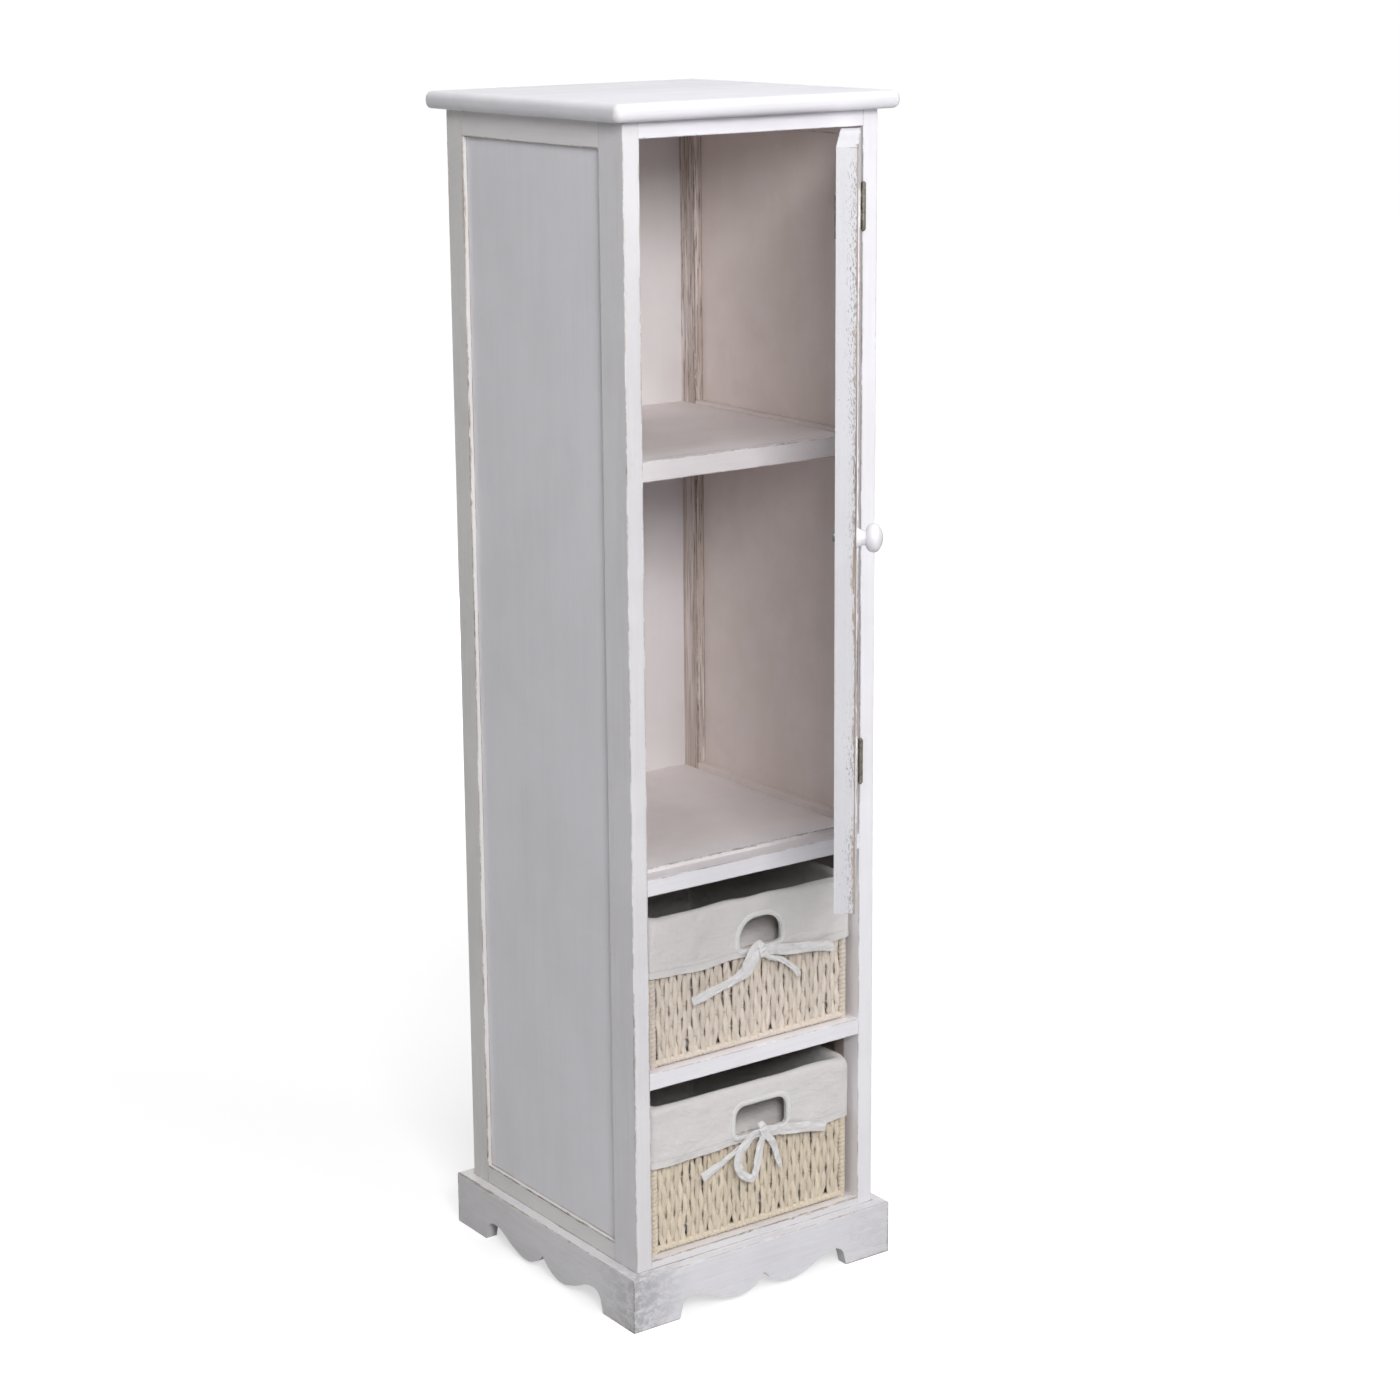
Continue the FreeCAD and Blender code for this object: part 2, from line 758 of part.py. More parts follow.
def knob_screw(play=0):
    """A pan head screw through the door stile into the knob; with play it is the hole."""
    shank_length = door_thickness + knob_screw_in_knob
    outline = polygon_edges((
        (-knob_screw_head_height - play, 0),
        (-knob_screw_head_height - play, knob_screw_crown_radius + play),
        (-knob_screw_head_height / 2, knob_screw_head_radius + play),
        (0, knob_screw_head_radius + play),
        (0, knob_screw_radius + play),
        (shank_length + play, knob_screw_radius + play),
        (shank_length + play, 0),
    ))
    place = Vector(door_left + knob_inset, door_back, door_middle)
    return lathe(outline, place, -QUARTER_TURN_DEG)


def door():
    """The framed door with its knob, screws and strike plate."""
    drawn = framed_panel(
        x_span=(door_left, door_right),
        z_span=(door_bottom, door_top),
        thickness=door_thickness,
        stile_widths=(door_stile_width, door_stile_width),
        rail_widths=(door_rail_width, door_rail_width),
        recess=door_panel_recess,
        panel_thickness=door_panel_thickness,
    )
    placed = {name: moved(shape, 0, case_front, 0) for name, shape in drawn.items()}
    strike_left = door_left + strike_inset
    strike = block((strike_left, strike_left + strike_width),
                   (door_back, door_back + strike_thickness),
                   (catch_middle - catch_foot_length / 2, catch_middle + catch_foot_length / 2))
    knob_place = Vector(door_left + knob_inset, case_front, door_middle)
    knob = lathe(knob_outline(), knob_place, -QUARTER_TURN_DEG)
    hinge_screw_holes = group(door_hinge_screws(screw_play))
    strike_hole = strike_screw(screw_play)
    knob_hole = knob_screw(screw_play)
    return {
        "door_free_stile": placed["left_stile"].cut(strike_hole).cut(knob_hole),
        "door_hinge_stile": placed["right_stile"].cut(hinge_screw_holes),
        "door_top_rail": placed["top_rail"],
        "door_bottom_rail": placed["bottom_rail"],
        "door_panel": placed["panel"],
        "door_knob": knob.cut(knob_hole),
        "knob_screw": knob_screw(),
        "strike_plate": strike.cut(strike_hole),
        "door_screws": group(door_hinge_screws() + [strike_screw()]),
    }


# Baskets, drawn with their foot at z = 0 and their middle at x = 0, y = 0

def wavy_side(start, end, count, depth):
    """Edges from start to end: straight, or shallow folds that go out and in by turns."""
    run = end - start
    outward = Vector(run.y, -run.x, 0).normalize()
    stops = [start + run * (turn / count) for turn in range(count + 1)]
    edges = []
    for turn, (first, last) in enumerate(zip(stops, stops[1:])):
        middle = (first + last) / 2 + outward * depth * (-1) ** turn
        edges.append(arc(first, middle, last) if depth else line(first, last))
    return edges


def rounded_plan(half_width, half_depth, radius, height, count=1, depth=0):
    """A ring of edges round the basket's middle, with round corners."""
    corners = ((1, -1), (1, 1), (-1, 1), (-1, -1))
    bend = radius * (1 - 0.5 ** 0.5)
    starts = []
    ends = []
    middles = []
    for along_x, along_y in corners:
        x_edge = along_x * half_width
        y_edge = along_y * half_depth
        near_x = Vector(x_edge - along_x * radius, y_edge, height)
        near_y = Vector(x_edge, y_edge - along_y * radius, height)
        first, last = (near_x, near_y) if along_x * along_y < 0 else (near_y, near_x)
        starts.append(first)
        ends.append(last)
        middles.append(Vector(x_edge - along_x * bend, y_edge - along_y * bend, height))
    edges = []
    for turn in range(len(corners)):
        edges.append(arc(starts[turn], middles[turn], ends[turn]))
        edges += wavy_side(ends[turn], starts[(turn + 1) % len(corners)], count, depth)
    return Part.Wire(edges)


def rounded_block(half_width, half_depth, radius, z_span):
    """A solid with round upright corners."""
    plan = Part.Face(rounded_plan(half_width, half_depth, radius, z_span[0]))
    return plan.extrude(Vector(0, 0, z_span[1] - z_span[0]))


def rod_frame():
    """Upright rods at the corners, joined by straight rods along the top and the bottom."""
    x = basket_width / 2 - post_radius
    y = basket_depth / 2 - post_radius
    frame = Part.makeCylinder(post_radius, basket_height, Vector(-x, -y, 0))
    others = [Part.makeCylinder(post_radius, basket_height, Vector(*corner, 0))
              for corner in ((x, -y), (x, y), (-x, y))]
    for height in (rod_radius, basket_height - rod_radius):
        for side in (-1, 1):
            across = Vector(-x, side * y, height)
            along = Vector(side * x, -y, height)
            others.append(Part.makeCylinder(rod_radius, 2 * x, across, Vector(1, 0, 0)))
            others.append(Part.makeCylinder(rod_radius, 2 * y, along, Vector(0, 1, 0)))
    return frame.fuse(others).removeSplitter()


def handle_outline(width, radius, grow=0):
    """The handle opening's face, grown on all sides, in the plane y = 0."""
    left = opening_shift - width / 2 - grow
    right = opening_shift + width / 2 + grow
    foot = opening_foot - grow
    head = opening_foot + opening_height + grow
    plate = block((left, right), (0, overrun), (foot, head))
    plate = eased(plate, radius + grow, {"x": left, "z": head}, {"x": right, "z": head})
    plate = eased(plate, opening_bottom_radius + grow,
                  {"x": left, "z": foot}, {"x": right, "z": foot})
    faces = [face for face in plate.Faces if face.BoundBox.YMax < touch]
    return faces[0]


def handle_cutter(width, radius, grow, y_span):
    face = moved(handle_outline(width, radius, grow), 0, y_span[0], 0)
    return face.extrude(Vector(0, y_span[1] - y_span[0], 0))


def woven_walls(width, radius):
    """The front wall with its opening, and the other three walls and the base."""
    wall_in = (post_radius - weave_thickness / 2, post_radius + weave_thickness / 2)
    post_reach = 2 * post_radius + soft_gap
    half_x = basket_width / 2
    half_y = basket_depth / 2
    z_span = (2 * rod_radius + soft_gap, basket_height - 2 * rod_radius - soft_gap)
    front_y = (-half_y + wall_in[0], -half_y + wall_in[1])
    front = block((post_reach - half_x, half_x - post_reach), front_y, z_span)
    opening = handle_cutter(width, radius, cloth_thickness + soft_gap,
                            (front_y[0] - overrun, front_y[1] + overrun))
    rear = block((post_reach - half_x, half_x - post_reach), (-front_y[1], -front_y[0]), z_span)
    left = block((-half_x + wall_in[0], -half_x + wall_in[1]),
                 (post_reach - half_y, half_y - post_reach), z_span)
    base_gap = post_radius + rod_radius + soft_gap
    base = rounded_block(half_x - base_gap, half_y - base_gap, base_corner_radius,
                         (rod_radius - weave_thickness / 2, rod_radius + weave_thickness / 2))
    return front.cut(opening), group([left, mirrored(left), rear]), base


def liner(width, radius):
    """A cloth bag inside, folded over the rim, with a bound opening through both layers."""
    half_x = basket_width / 2
    half_y = basket_depth / 2
    skin = soft_gap + cloth_thickness
    corner = post_radius + soft_gap
    top = basket_height + liner_rise
    hem = top - liner_drop
    shoulder = top - liner_shoulder
    outer = (half_x + skin, half_y + skin, corner + cloth_thickness)
    folded = rounded_plan(*outer, hem, liner_fold_count, liner_fold_depth)
    straight = rounded_plan(*outer, shoulder, liner_fold_count, 0)
    skirt = Part.makeLoft([folded, straight], True, True)
    cap = rounded_block(*outer, (shoulder, top))
    cap = cap.makeFillet(liner_roll, edges_at(cap, z=top))
    bag_in = post_radius + rod_radius + soft_gap
    bag = (half_x - bag_in, half_y - bag_in, liner_corner_radius)
    bag_foot = rod_radius + weave_thickness / 2 + soft_gap
    bag_block = rounded_block(*bag, (bag_foot, top))
    rim_space = rounded_block(half_x + soft_gap, half_y + soft_gap, corner,
                              (hem - overrun, top - cloth_thickness))
    rim_space = rim_space.cut(rounded_block(*bag, (hem - 2 * overrun, top)))
    inside = rounded_block(bag[0] - cloth_thickness, bag[1] - cloth_thickness,
                           bag[2] - cloth_thickness, (bag_foot + cloth_thickness, top + overrun))
    cloth = skirt.fuse([cap, bag_block]).cut(rim_space)
    front_y = -outer[1]
    inner_y = -bag[1] + cloth_thickness
    sleeve = handle_cutter(width, radius, cloth_thickness, (front_y + cloth_thickness / 2, inner_y))
    binding = handle_cutter(width, radius, binding_width,
                            (front_y - liner_fold_depth - binding_rise, front_y + cloth_thickness))
    opening = handle_cutter(width, radius, 0, (front_y - overrun, inner_y + overrun))
    return cloth.fuse([sleeve, binding]).cut(inside).cut(opening)


def strand(shares, layer):
    """One strand of ribbon in front of the liner: a band of changing width along its places."""
    front = -basket_depth / 2 - soft_gap - cloth_thickness - liner_fold_depth - binding_rise
    back = front - soft_gap - layer * ribbon_layer
    places = [Vector(x * bow_reach, back, z * bow_reach) for x, z, width in shares]
    left = []
    right = []
    for turn, (place, share) in enumerate(zip(places, shares)):
        before = places[max(turn - 1, 0)]
        after = places[min(turn + 1, len(places) - 1)]
        along = (after - before).normalize()
        side = Vector(-along.z, 0, along.x) * (share[2] * ribbon_width / 2)
        left.append(place + side)
        right.append(place - side)
    edges = [smooth(left), line(left[-1], right[-1]), smooth(right), line(right[0], left[0])]
    return closed_face(edges).extrude(Vector(0, -ribbon_thickness, 0))


def ribbon(strands, loop, knot_height):
    """The tied ribbon: its strands, a hanging loop where there is one, and the knot."""
    pieces = [strand(shares, layer) for layer, shares in enumerate(strands)]
    if loop:
        pieces.append(strand(loop, len(strands)))
    layers = len(pieces) - 1
    front = -basket_depth / 2 - soft_gap - cloth_thickness - liner_fold_depth - binding_rise
    knot_back = front - soft_gap
    depth = layers * ribbon_layer + 2 * ribbon_thickness
    knot = Part.makeCylinder(knot_radius, depth, Vector(0, knot_back, 0), Vector(0, -1, 0))
    knot = knot.makeFillet(ribbon_thickness, edges_at(knot, y=knot_back - depth))
    tied = knot.fuse(pieces).removeSplitter()
    return moved(tied, knot_shift, 0, knot_height)


def basket(name, foot, width, radius, strands, loop, knot_height):
    """All pieces of one basket, in its place in the cabinet."""
    front_wall, walls, base = woven_walls(width, radius)
    pieces = {
        "frame": rod_frame(),
        "front_wall": front_wall,
        "walls": walls,
        "base": base,
        "liner": liner(width, radius),
        "ribbon": ribbon(strands, loop, knot_height),
    }
    middle_y = basket_front + basket_depth / 2
    return {name + "_basket_" + piece: moved(shape, 0, middle_y, foot + basket_lift)
            for piece, shape in pieces.items()}


def build():
    """Every node of the cabinet by name."""
    fixed_hinges, door_leaves = hinges()
    swinging = {**door(), **door_leaves}
    return {
        "top_board": top_board(),
        **side_frames(),
        **back(),
        **front_rails(),
        **shelf_boards(),
        **cleats(),
        **plinth(),
        **fixed_hinges,
        **catch(),
        "case_screws": group(frame_hinge_screws() + catch_screws()),
        **{name: turned(shape, door_open_deg, hinge_x, hinge_y)
           for name, shape in swinging.items()},
        **basket("upper", middle_shelf_height, upper_opening_width, upper_opening_radius,
                 upper_strand_shares, None, upper_knot_height),
        **basket("lower", bottom_shelf_height, lower_opening_width, lower_opening_radius,
                 lower_strand_shares, lower_loop_shares, lower_knot_height),
    }


def save(nodes):
    """One STEP file for each node."""
    os.makedirs("parts", exist_ok=True)
    for name, shape in nodes.items():
        shape.exportStep("parts/" + name + ".step")
        print(name, len(shape.Solids))


save(build())
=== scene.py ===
import json
import math
import random
from collections import namedtuple
from contextlib import contextmanager
from itertools import accumulate

import bmesh
import bpy
from bpy.props import EnumProperty, FloatProperty, FloatVectorProperty, PointerProperty
from mathutils import Matrix, Vector, noise

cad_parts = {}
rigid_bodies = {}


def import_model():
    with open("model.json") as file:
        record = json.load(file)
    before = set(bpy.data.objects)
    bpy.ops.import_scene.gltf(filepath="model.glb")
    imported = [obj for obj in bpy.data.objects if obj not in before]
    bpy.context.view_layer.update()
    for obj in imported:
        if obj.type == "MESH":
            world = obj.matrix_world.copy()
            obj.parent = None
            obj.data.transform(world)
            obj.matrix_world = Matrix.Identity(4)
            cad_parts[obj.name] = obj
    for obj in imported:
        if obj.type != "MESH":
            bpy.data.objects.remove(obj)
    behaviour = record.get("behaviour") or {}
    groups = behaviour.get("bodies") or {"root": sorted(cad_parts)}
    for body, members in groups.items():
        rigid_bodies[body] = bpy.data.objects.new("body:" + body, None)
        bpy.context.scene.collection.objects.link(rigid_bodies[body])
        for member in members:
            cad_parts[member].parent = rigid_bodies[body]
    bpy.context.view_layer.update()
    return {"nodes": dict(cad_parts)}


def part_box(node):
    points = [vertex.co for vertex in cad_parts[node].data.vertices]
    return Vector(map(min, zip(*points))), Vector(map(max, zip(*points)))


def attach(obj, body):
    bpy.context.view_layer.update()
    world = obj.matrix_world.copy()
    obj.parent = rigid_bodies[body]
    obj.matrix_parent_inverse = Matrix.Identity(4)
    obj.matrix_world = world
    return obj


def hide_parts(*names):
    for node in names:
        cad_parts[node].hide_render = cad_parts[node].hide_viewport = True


bl_info = {
    "name": "Whitewashed Bathroom Cabinet",
    "version": (1, 0, 0),
    "blender": (4, 5, 0),
    "location": "View3D > Sidebar > Cabinet",
    "description": "Paints the cabinet, weaves its baskets and sews their liners and ribbons",
    "category": "Object",
}

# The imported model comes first, so that sizes below can be read from it. Lengths are in metres.
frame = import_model()
DOOR_TURN = math.radians(50.5)
BASKETS = ("upper", "lower")


# Small steps that every piece is modelled with


def take_up(*pieces):
    """Selects just these pieces, and makes the first one active."""
    bpy.ops.object.select_all(action="DESELECT")
    for piece in pieces:
        piece.select_set(True)
    bpy.context.view_layer.objects.active = pieces[0]


def settle(piece, name, place=None, turn=None):
    """Names a piece, moves and turns it where asked, and leaves its object at the origin."""
    if place is not None:
        piece.location = place
    if turn is not None:
        piece.rotation_euler = turn
    take_up(piece)
    bpy.ops.object.transform_apply(location=True, rotation=True, scale=True)
    piece.name = piece.data.name = name
    return piece


@contextmanager
def editing(piece):
    """Edit mode on one piece, with all of it selected."""
    take_up(piece)
    bpy.ops.object.mode_set(mode="EDIT")
    bpy.ops.mesh.select_all(action="SELECT")
    yield
    bpy.ops.object.mode_set(mode="OBJECT")


def select_parts(piece, kind, test):
    """In edit mode, selects just the vertices or edges that pass the test."""
    bpy.ops.mesh.select_mode(type={"verts": "VERT", "edges": "EDGE"}[kind])
    bpy.ops.mesh.select_all(action="DESELECT")
    shape = bmesh.from_edit_mesh(piece.data)
    for part in getattr(shape, kind):
        if test(part):
            part.select_set(True)
    bmesh.update_edit_mesh(piece.data)


def turn_faces_out():
    """In edit mode, makes all faces of a piece look outward."""
    bpy.ops.mesh.select_all(action="SELECT")
    bpy.ops.mesh.normals_make_consistent(inside=False)


def bisect_level(height, heading=1, **cut):
    """In edit mode, cuts through all of a piece at a height."""
    bpy.ops.mesh.select_all(action="SELECT")
    bpy.ops.mesh.bisect(plane_co=(0, 0, height), plane_no=(0, 0, heading), **cut)


def modify(piece, kind, **options):
    """Changes a piece by one modifier."""
    modifier = piece.modifiers.new(kind.lower(), kind)
    for option, choice in options.items():
        setattr(modifier, option, choice)
    take_up(piece)
    bpy.ops.object.modifier_apply(modifier=modifier.name)


def soften(piece, levels=1):
    """Rounds a piece by subdivision."""
    modify(piece, "SUBSURF", levels=levels, render_levels=levels)


def copy_of(piece):
    twin = piece.copy()
    twin.data = piece.data.copy()
    bpy.context.collection.objects.link(twin)
    return twin


def join(pieces, name, place=None, turn=None):
    """Joins the pieces into one, which sits at the origin, and then moves it where asked."""
    take_up(*pieces)
    bpy.ops.object.join()
    return settle(settle(pieces[0], name), name, place, turn)


def dress(piece, material):
    piece.data.materials.clear()
    piece.data.materials.append(material)


def finish_piece(piece, angle, body, material, slot, *nodes):
    """Smooths a piece, and gives it its material and the body it rides on. The slot is not used."""
    take_up(piece)
    bpy.ops.object.shade_smooth_by_angle(angle=math.radians(angle))
    dress(piece, material)
    if nodes:
        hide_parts(*nodes)
    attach(piece, body)


def held_in(value, low=0.0, high=1.0):
    return max(low, min(high, value))


def along_line(points, place):
    """The height of a measured line at a place along it, smooth between its points."""
    place = held_in(place, points[0][0], points[-1][0])
    for (x0, z0), (x1, z1) in zip(points, points[1:]):
        if place <= x1:
            share = (place - x0) / (x1 - x0)
            return z0 + (z1 - z0) * share * share * (3 - 2 * share)


# Shader nodes: a node goes into the tree of the sockets that feed it


def fill(socket, value):
    """Links an input from a socket or sets it to a value. A colour may leave its alpha out."""
    if isinstance(value, bpy.types.NodeSocket):
        socket.id_data.links.new(value, socket)
    else:
        bare = socket.type == "RGBA" and len(value) == 3
        socket.default_value = (*value, 1) if bare else value


def feed(node, **inputs):
    """Fills inputs of a node by name."""
    for name, value in inputs.items():
        fill(node.inputs[name.replace("_", " ")], value)
    return node


def add_node(tree, kind, *values, options=None, **inputs):
    """A shader node with its options set, and its inputs filled in order or by name."""
    node = tree.nodes.new("ShaderNode" + kind)
    for option, choice in (options or {}).items():
        setattr(node, option, choice)
    for socket, value in zip(node.inputs, values):
        fill(socket, value)
    return feed(node, **inputs)


def tree_of(values):
    """The node tree that the first socket among some values is in."""
    return next(value.id_data for value in values if isinstance(value, bpy.types.NodeSocket))


def maths(operation, *values, clamp=False):
    options = {"operation": operation, "use_clamp": clamp}
    return add_node(tree_of(values), "Math", *values, options=options).outputs[0]


def plus(first, second):
    return maths("ADD", first, second)


def minus(first, second, clamp=False):
    return maths("SUBTRACT", first, second, clamp=clamp)


def times(first, *others, clamp=False):
    for other in others:
        first = maths("MULTIPLY", first, other, clamp=clamp)
    return first


def vector_maths(operation, *values):
    node = add_node(tree_of(values), "VectorMath", *values, options={"operation": operation})
    return node.outputs["Value" if operation in ("DOT_PRODUCT", "LENGTH") else "Vector"]


def split(vector):
    """The three parts of a vector."""
    return add_node(vector.id_data, "SeparateXYZ", vector).outputs


def ramp(value, low, high, start=0.0, end=1.0, kind="SMOOTHSTEP"):
    """A step of a value between two levels."""
    return add_node(value.id_data, "MapRange", value, low, high, start, end,
                    options={"interpolation_type": kind}).outputs[0]


def mixed(first, second, *shares, blend="MIX"):
    """The first colour with a share of the second mixed in, or multiplied in.

    The share is the product of those given.
    """
    share = times(*shares)
    options = {"data_type": "RGBA", "blend_type": blend}
    node = add_node(tree_of((share, first, second)), "Mix", options=options)
    for index, value in ((0, share), (6, first), (7, second)):
        fill(node.inputs[index], value)
    return node.outputs[2]


def shaded(colour, share):
    return tuple(part * share for part in colour)


def streaks(vector, scale, detail=3.0, roughness=0.55, distortion=0.0):
    """Noise stretched by a different scale along each axis."""
    mapped = add_node(vector.id_data, "Mapping", vector, Scale=scale).outputs[0]
    return add_node(vector.id_data, "TexNoise", Vector=mapped, Scale=1.0, Detail=detail,
                    Roughness=roughness, Distortion=distortion).outputs[0]


# Shader node groups shared by the materials


def new_group(build, inputs):
    """A shader node group with named sockets, and the nodes that a function puts between them."""
    tree = bpy.data.node_groups.new(build.__name__, "ShaderNodeTree")
    for name, start in inputs.items():
        kind = "NodeSocketVector" if start is None else "NodeSocketFloat"
        socket = tree.interface.new_socket(name=name.replace("_", " "), in_out="INPUT",
                                           socket_type=kind)
        if start is not None:
            socket.default_value = start
    made = build(tree.nodes.new("NodeGroupInput").outputs)
    for name in made:
        tree.interface.new_socket(name=name.replace("_", " "), in_out="OUTPUT",
                                  socket_type="NodeSocketFloat")
    feed(tree.nodes.new("NodeGroupOutput"), **made)
    return tree


def shared_group(**inputs):
    """Turns a function from inputs to outputs into one that places it as a shader node group.

    The group has the function's name and is built at its first use. An input of None is a vector.
    """
    def make_placer(build):
        def place_group(**values):
            group = bpy.data.node_groups.get(build.__name__) or new_group(build, inputs)
            return add_node(tree_of(values.values()), "Group", options={"node_tree": group},
                            **values).outputs
        return place_group
    return make_placer


@shared_group(Vector=None, Seed=None)
def brushed_grain(given):
    """Brushed paint over grain that runs along X: how thin the paint is, and its relief."""
    place = vector_maths("ADD", given["Vector"], given["Seed"])
    brush = streaks(place, (9, 260, 260), 4, 0.6, 0.4)
    broad = streaks(place, (4, 30, 30), 2, 0.5, 0.6)
    pores = ramp(streaks(place, (36, 1100, 1100), 2), 0.60, 0.74)
    return {"Thin_Paint": ramp(plus(times(brush, 0.5), times(broad, 0.5)), 0.38, 0.66),
            "Pores": pores, "Height": minus(times(brush, 0.7), times(pores, 0.5))}


@shared_group(Vector=None, Half_Size=None, Reach=0.003, Amount=0.5, Worn_Side=None, All_Sides=1.0,
              Side_Start=0.0, Seed=None)
def edge_wear(given):
    """Where paint is rubbed off a squared piece: patches near its edges, their arris, strokes."""
    place, half_size, amount = given["Vector"], given["Half Size"], given["Amount"]
    x, y, z = split(vector_maths("SUBTRACT", half_size, vector_maths("ABSOLUTE", place)))
    to_edge = maths("MAXIMUM", maths("MINIMUM", x, y), maths("MINIMUM", maths("MAXIMUM", x, y), z))
    toward = vector_maths("DOT_PRODUCT", vector_maths("DIVIDE", place, half_size),
                          given["Worn Side"])
    side = ramp(toward, given["Side Start"], 1.0, kind="LINEAR")
    side = maths("MAXIMUM", side, given["All Sides"])
    near = minus(1.0, maths("DIVIDE", to_edge, given["Reach"]), clamp=True)
    near = times(near, side)
    place = vector_maths("ADD", place, given["Seed"])
    rubs = streaks(place, (75, 430, 430), 5, 0.7, 0.9)
    patches = streaks(place, (6, 26, 26), 2)
    level = plus(times(rubs, 0.55), times(patches, 0.45))
    level = plus(level, times(near, plus(times(amount, 0.17), 0.07)))
    breaks = plus(streaks(place, (34, 90, 90), 4, 0.7), times(amount, 0.14))
    line = times(ramp(to_edge, 0.0004, 0.0014, 1.0, 0.0), ramp(breaks, 0.46, 0.62))
    strokes = streaks(place, (110, 620, 620), 3, 0.7, 0.6)
    return {"Mask": times(ramp(level, 0.64, 0.70), ramp(near, 0.0, 0.12)),
            "Arris": times(line, side),
            "Strokes": times(ramp(strokes, 0.56, 0.68), ramp(patches, 0.42, 0.62))}


@shared_group(Vector=None, Centre=None, Half_Size=None, Softness=0.001)
def box_mask(given):
    """One inside a box, zero outside it."""
    offset = vector_maths("ABSOLUTE", vector_maths("SUBTRACT", given["Vector"], given["Centre"]))
    x, y, z = split(vector_maths("SUBTRACT", given["Half Size"], offset))
    least = maths("MINIMUM", maths("MINIMUM", x, y), z)
    return {"Mask": maths("DIVIDE", least, given["Softness"], clamp=True)}


@shared_group(Vector=None, Size=0.05)
def soft_mottle(given):
    """Slow cloudy changes of tone, for paint, cloth, rope and metal."""
    near = maths("DIVIDE", 1.0, given["Size"])
    slow = add_node(near.id_data, "TexNoise", Vector=given["Vector"], Scale=near, Detail=4.0,
                    Roughness=0.6, Distortion=0.3)
    return {"Mask": ramp(slow.outputs[0], 0.34, 0.68)}


@shared_group(Vector=None, Thread=0.0009)
def cotton_weave(given):
    """Plain woven cotton: threads both ways with thick places in them."""
    place = vector_maths("DIVIDE", given["Vector"], given["Thread"])
    threads = plus(streaks(place, (1, 1, 0.10), 2), streaks(place, (0.10, 0.10, 1), 2))
    slub = times(threads, 0.5)
    fine = streaks(place, (1.9, 1.9, 1.9), 1)
    return {"Slub": ramp(slub, 0.36, 0.64), "Height": plus(slub, times(fine, 0.35))}


@shared_group(Vector=None)
def rope_twist(given):
    """Fibres of twisted paper rope, in coordinates whose Z runs along the strand."""
    creases = streaks(given["Vector"], (1, 1, 0.22), 3, 0.6, 1.4)
    return {"Fibres": ramp(creases, 0.40, 0.62), "Height": creases}


def box_share(place, low, high, softness=0.001):
    """One inside the box between two corners, zero outside it."""
    low, high = Vector(low), Vector(high)
    return box_mask(Vector=place, Centre=(low + high) / 2, Half_Size=(high - low) / 2,
                    Softness=softness)["Mask"]


def clouds(place, size):
    """The mask of the soft mottle alone."""
    return soft_mottle(Vector=place, Size=size)["Mask"]


def empty_material(name):
    """A material, and its node tree with nothing in it."""
    material = bpy.data.materials.new(name)
    material.use_nodes = True
    material.node_tree.nodes.clear()
    return material, material.node_tree


def start_material(name, roughness, metallic=0.0):
    """A material with an empty Principled surface, and its object coordinates."""
    material, tree = empty_material(name)
    surface = add_node(tree, "BsdfPrincipled", Roughness=roughness, Metallic=metallic)
    add_node(tree, "OutputMaterial", surface.outputs[0])
    return material, surface, add_node(tree, "TexCoord").outputs["Object"]


def coat(surface, colour, height, depth, **inputs):
    """Gives a surface its colour, its relief (a height, and how deep that is) and more inputs."""
    bump = add_node(surface.id_data, "Bump", Height=height, Distance=depth).outputs[0]
    feed(surface, Base_Color=colour, Normal=bump, **inputs)
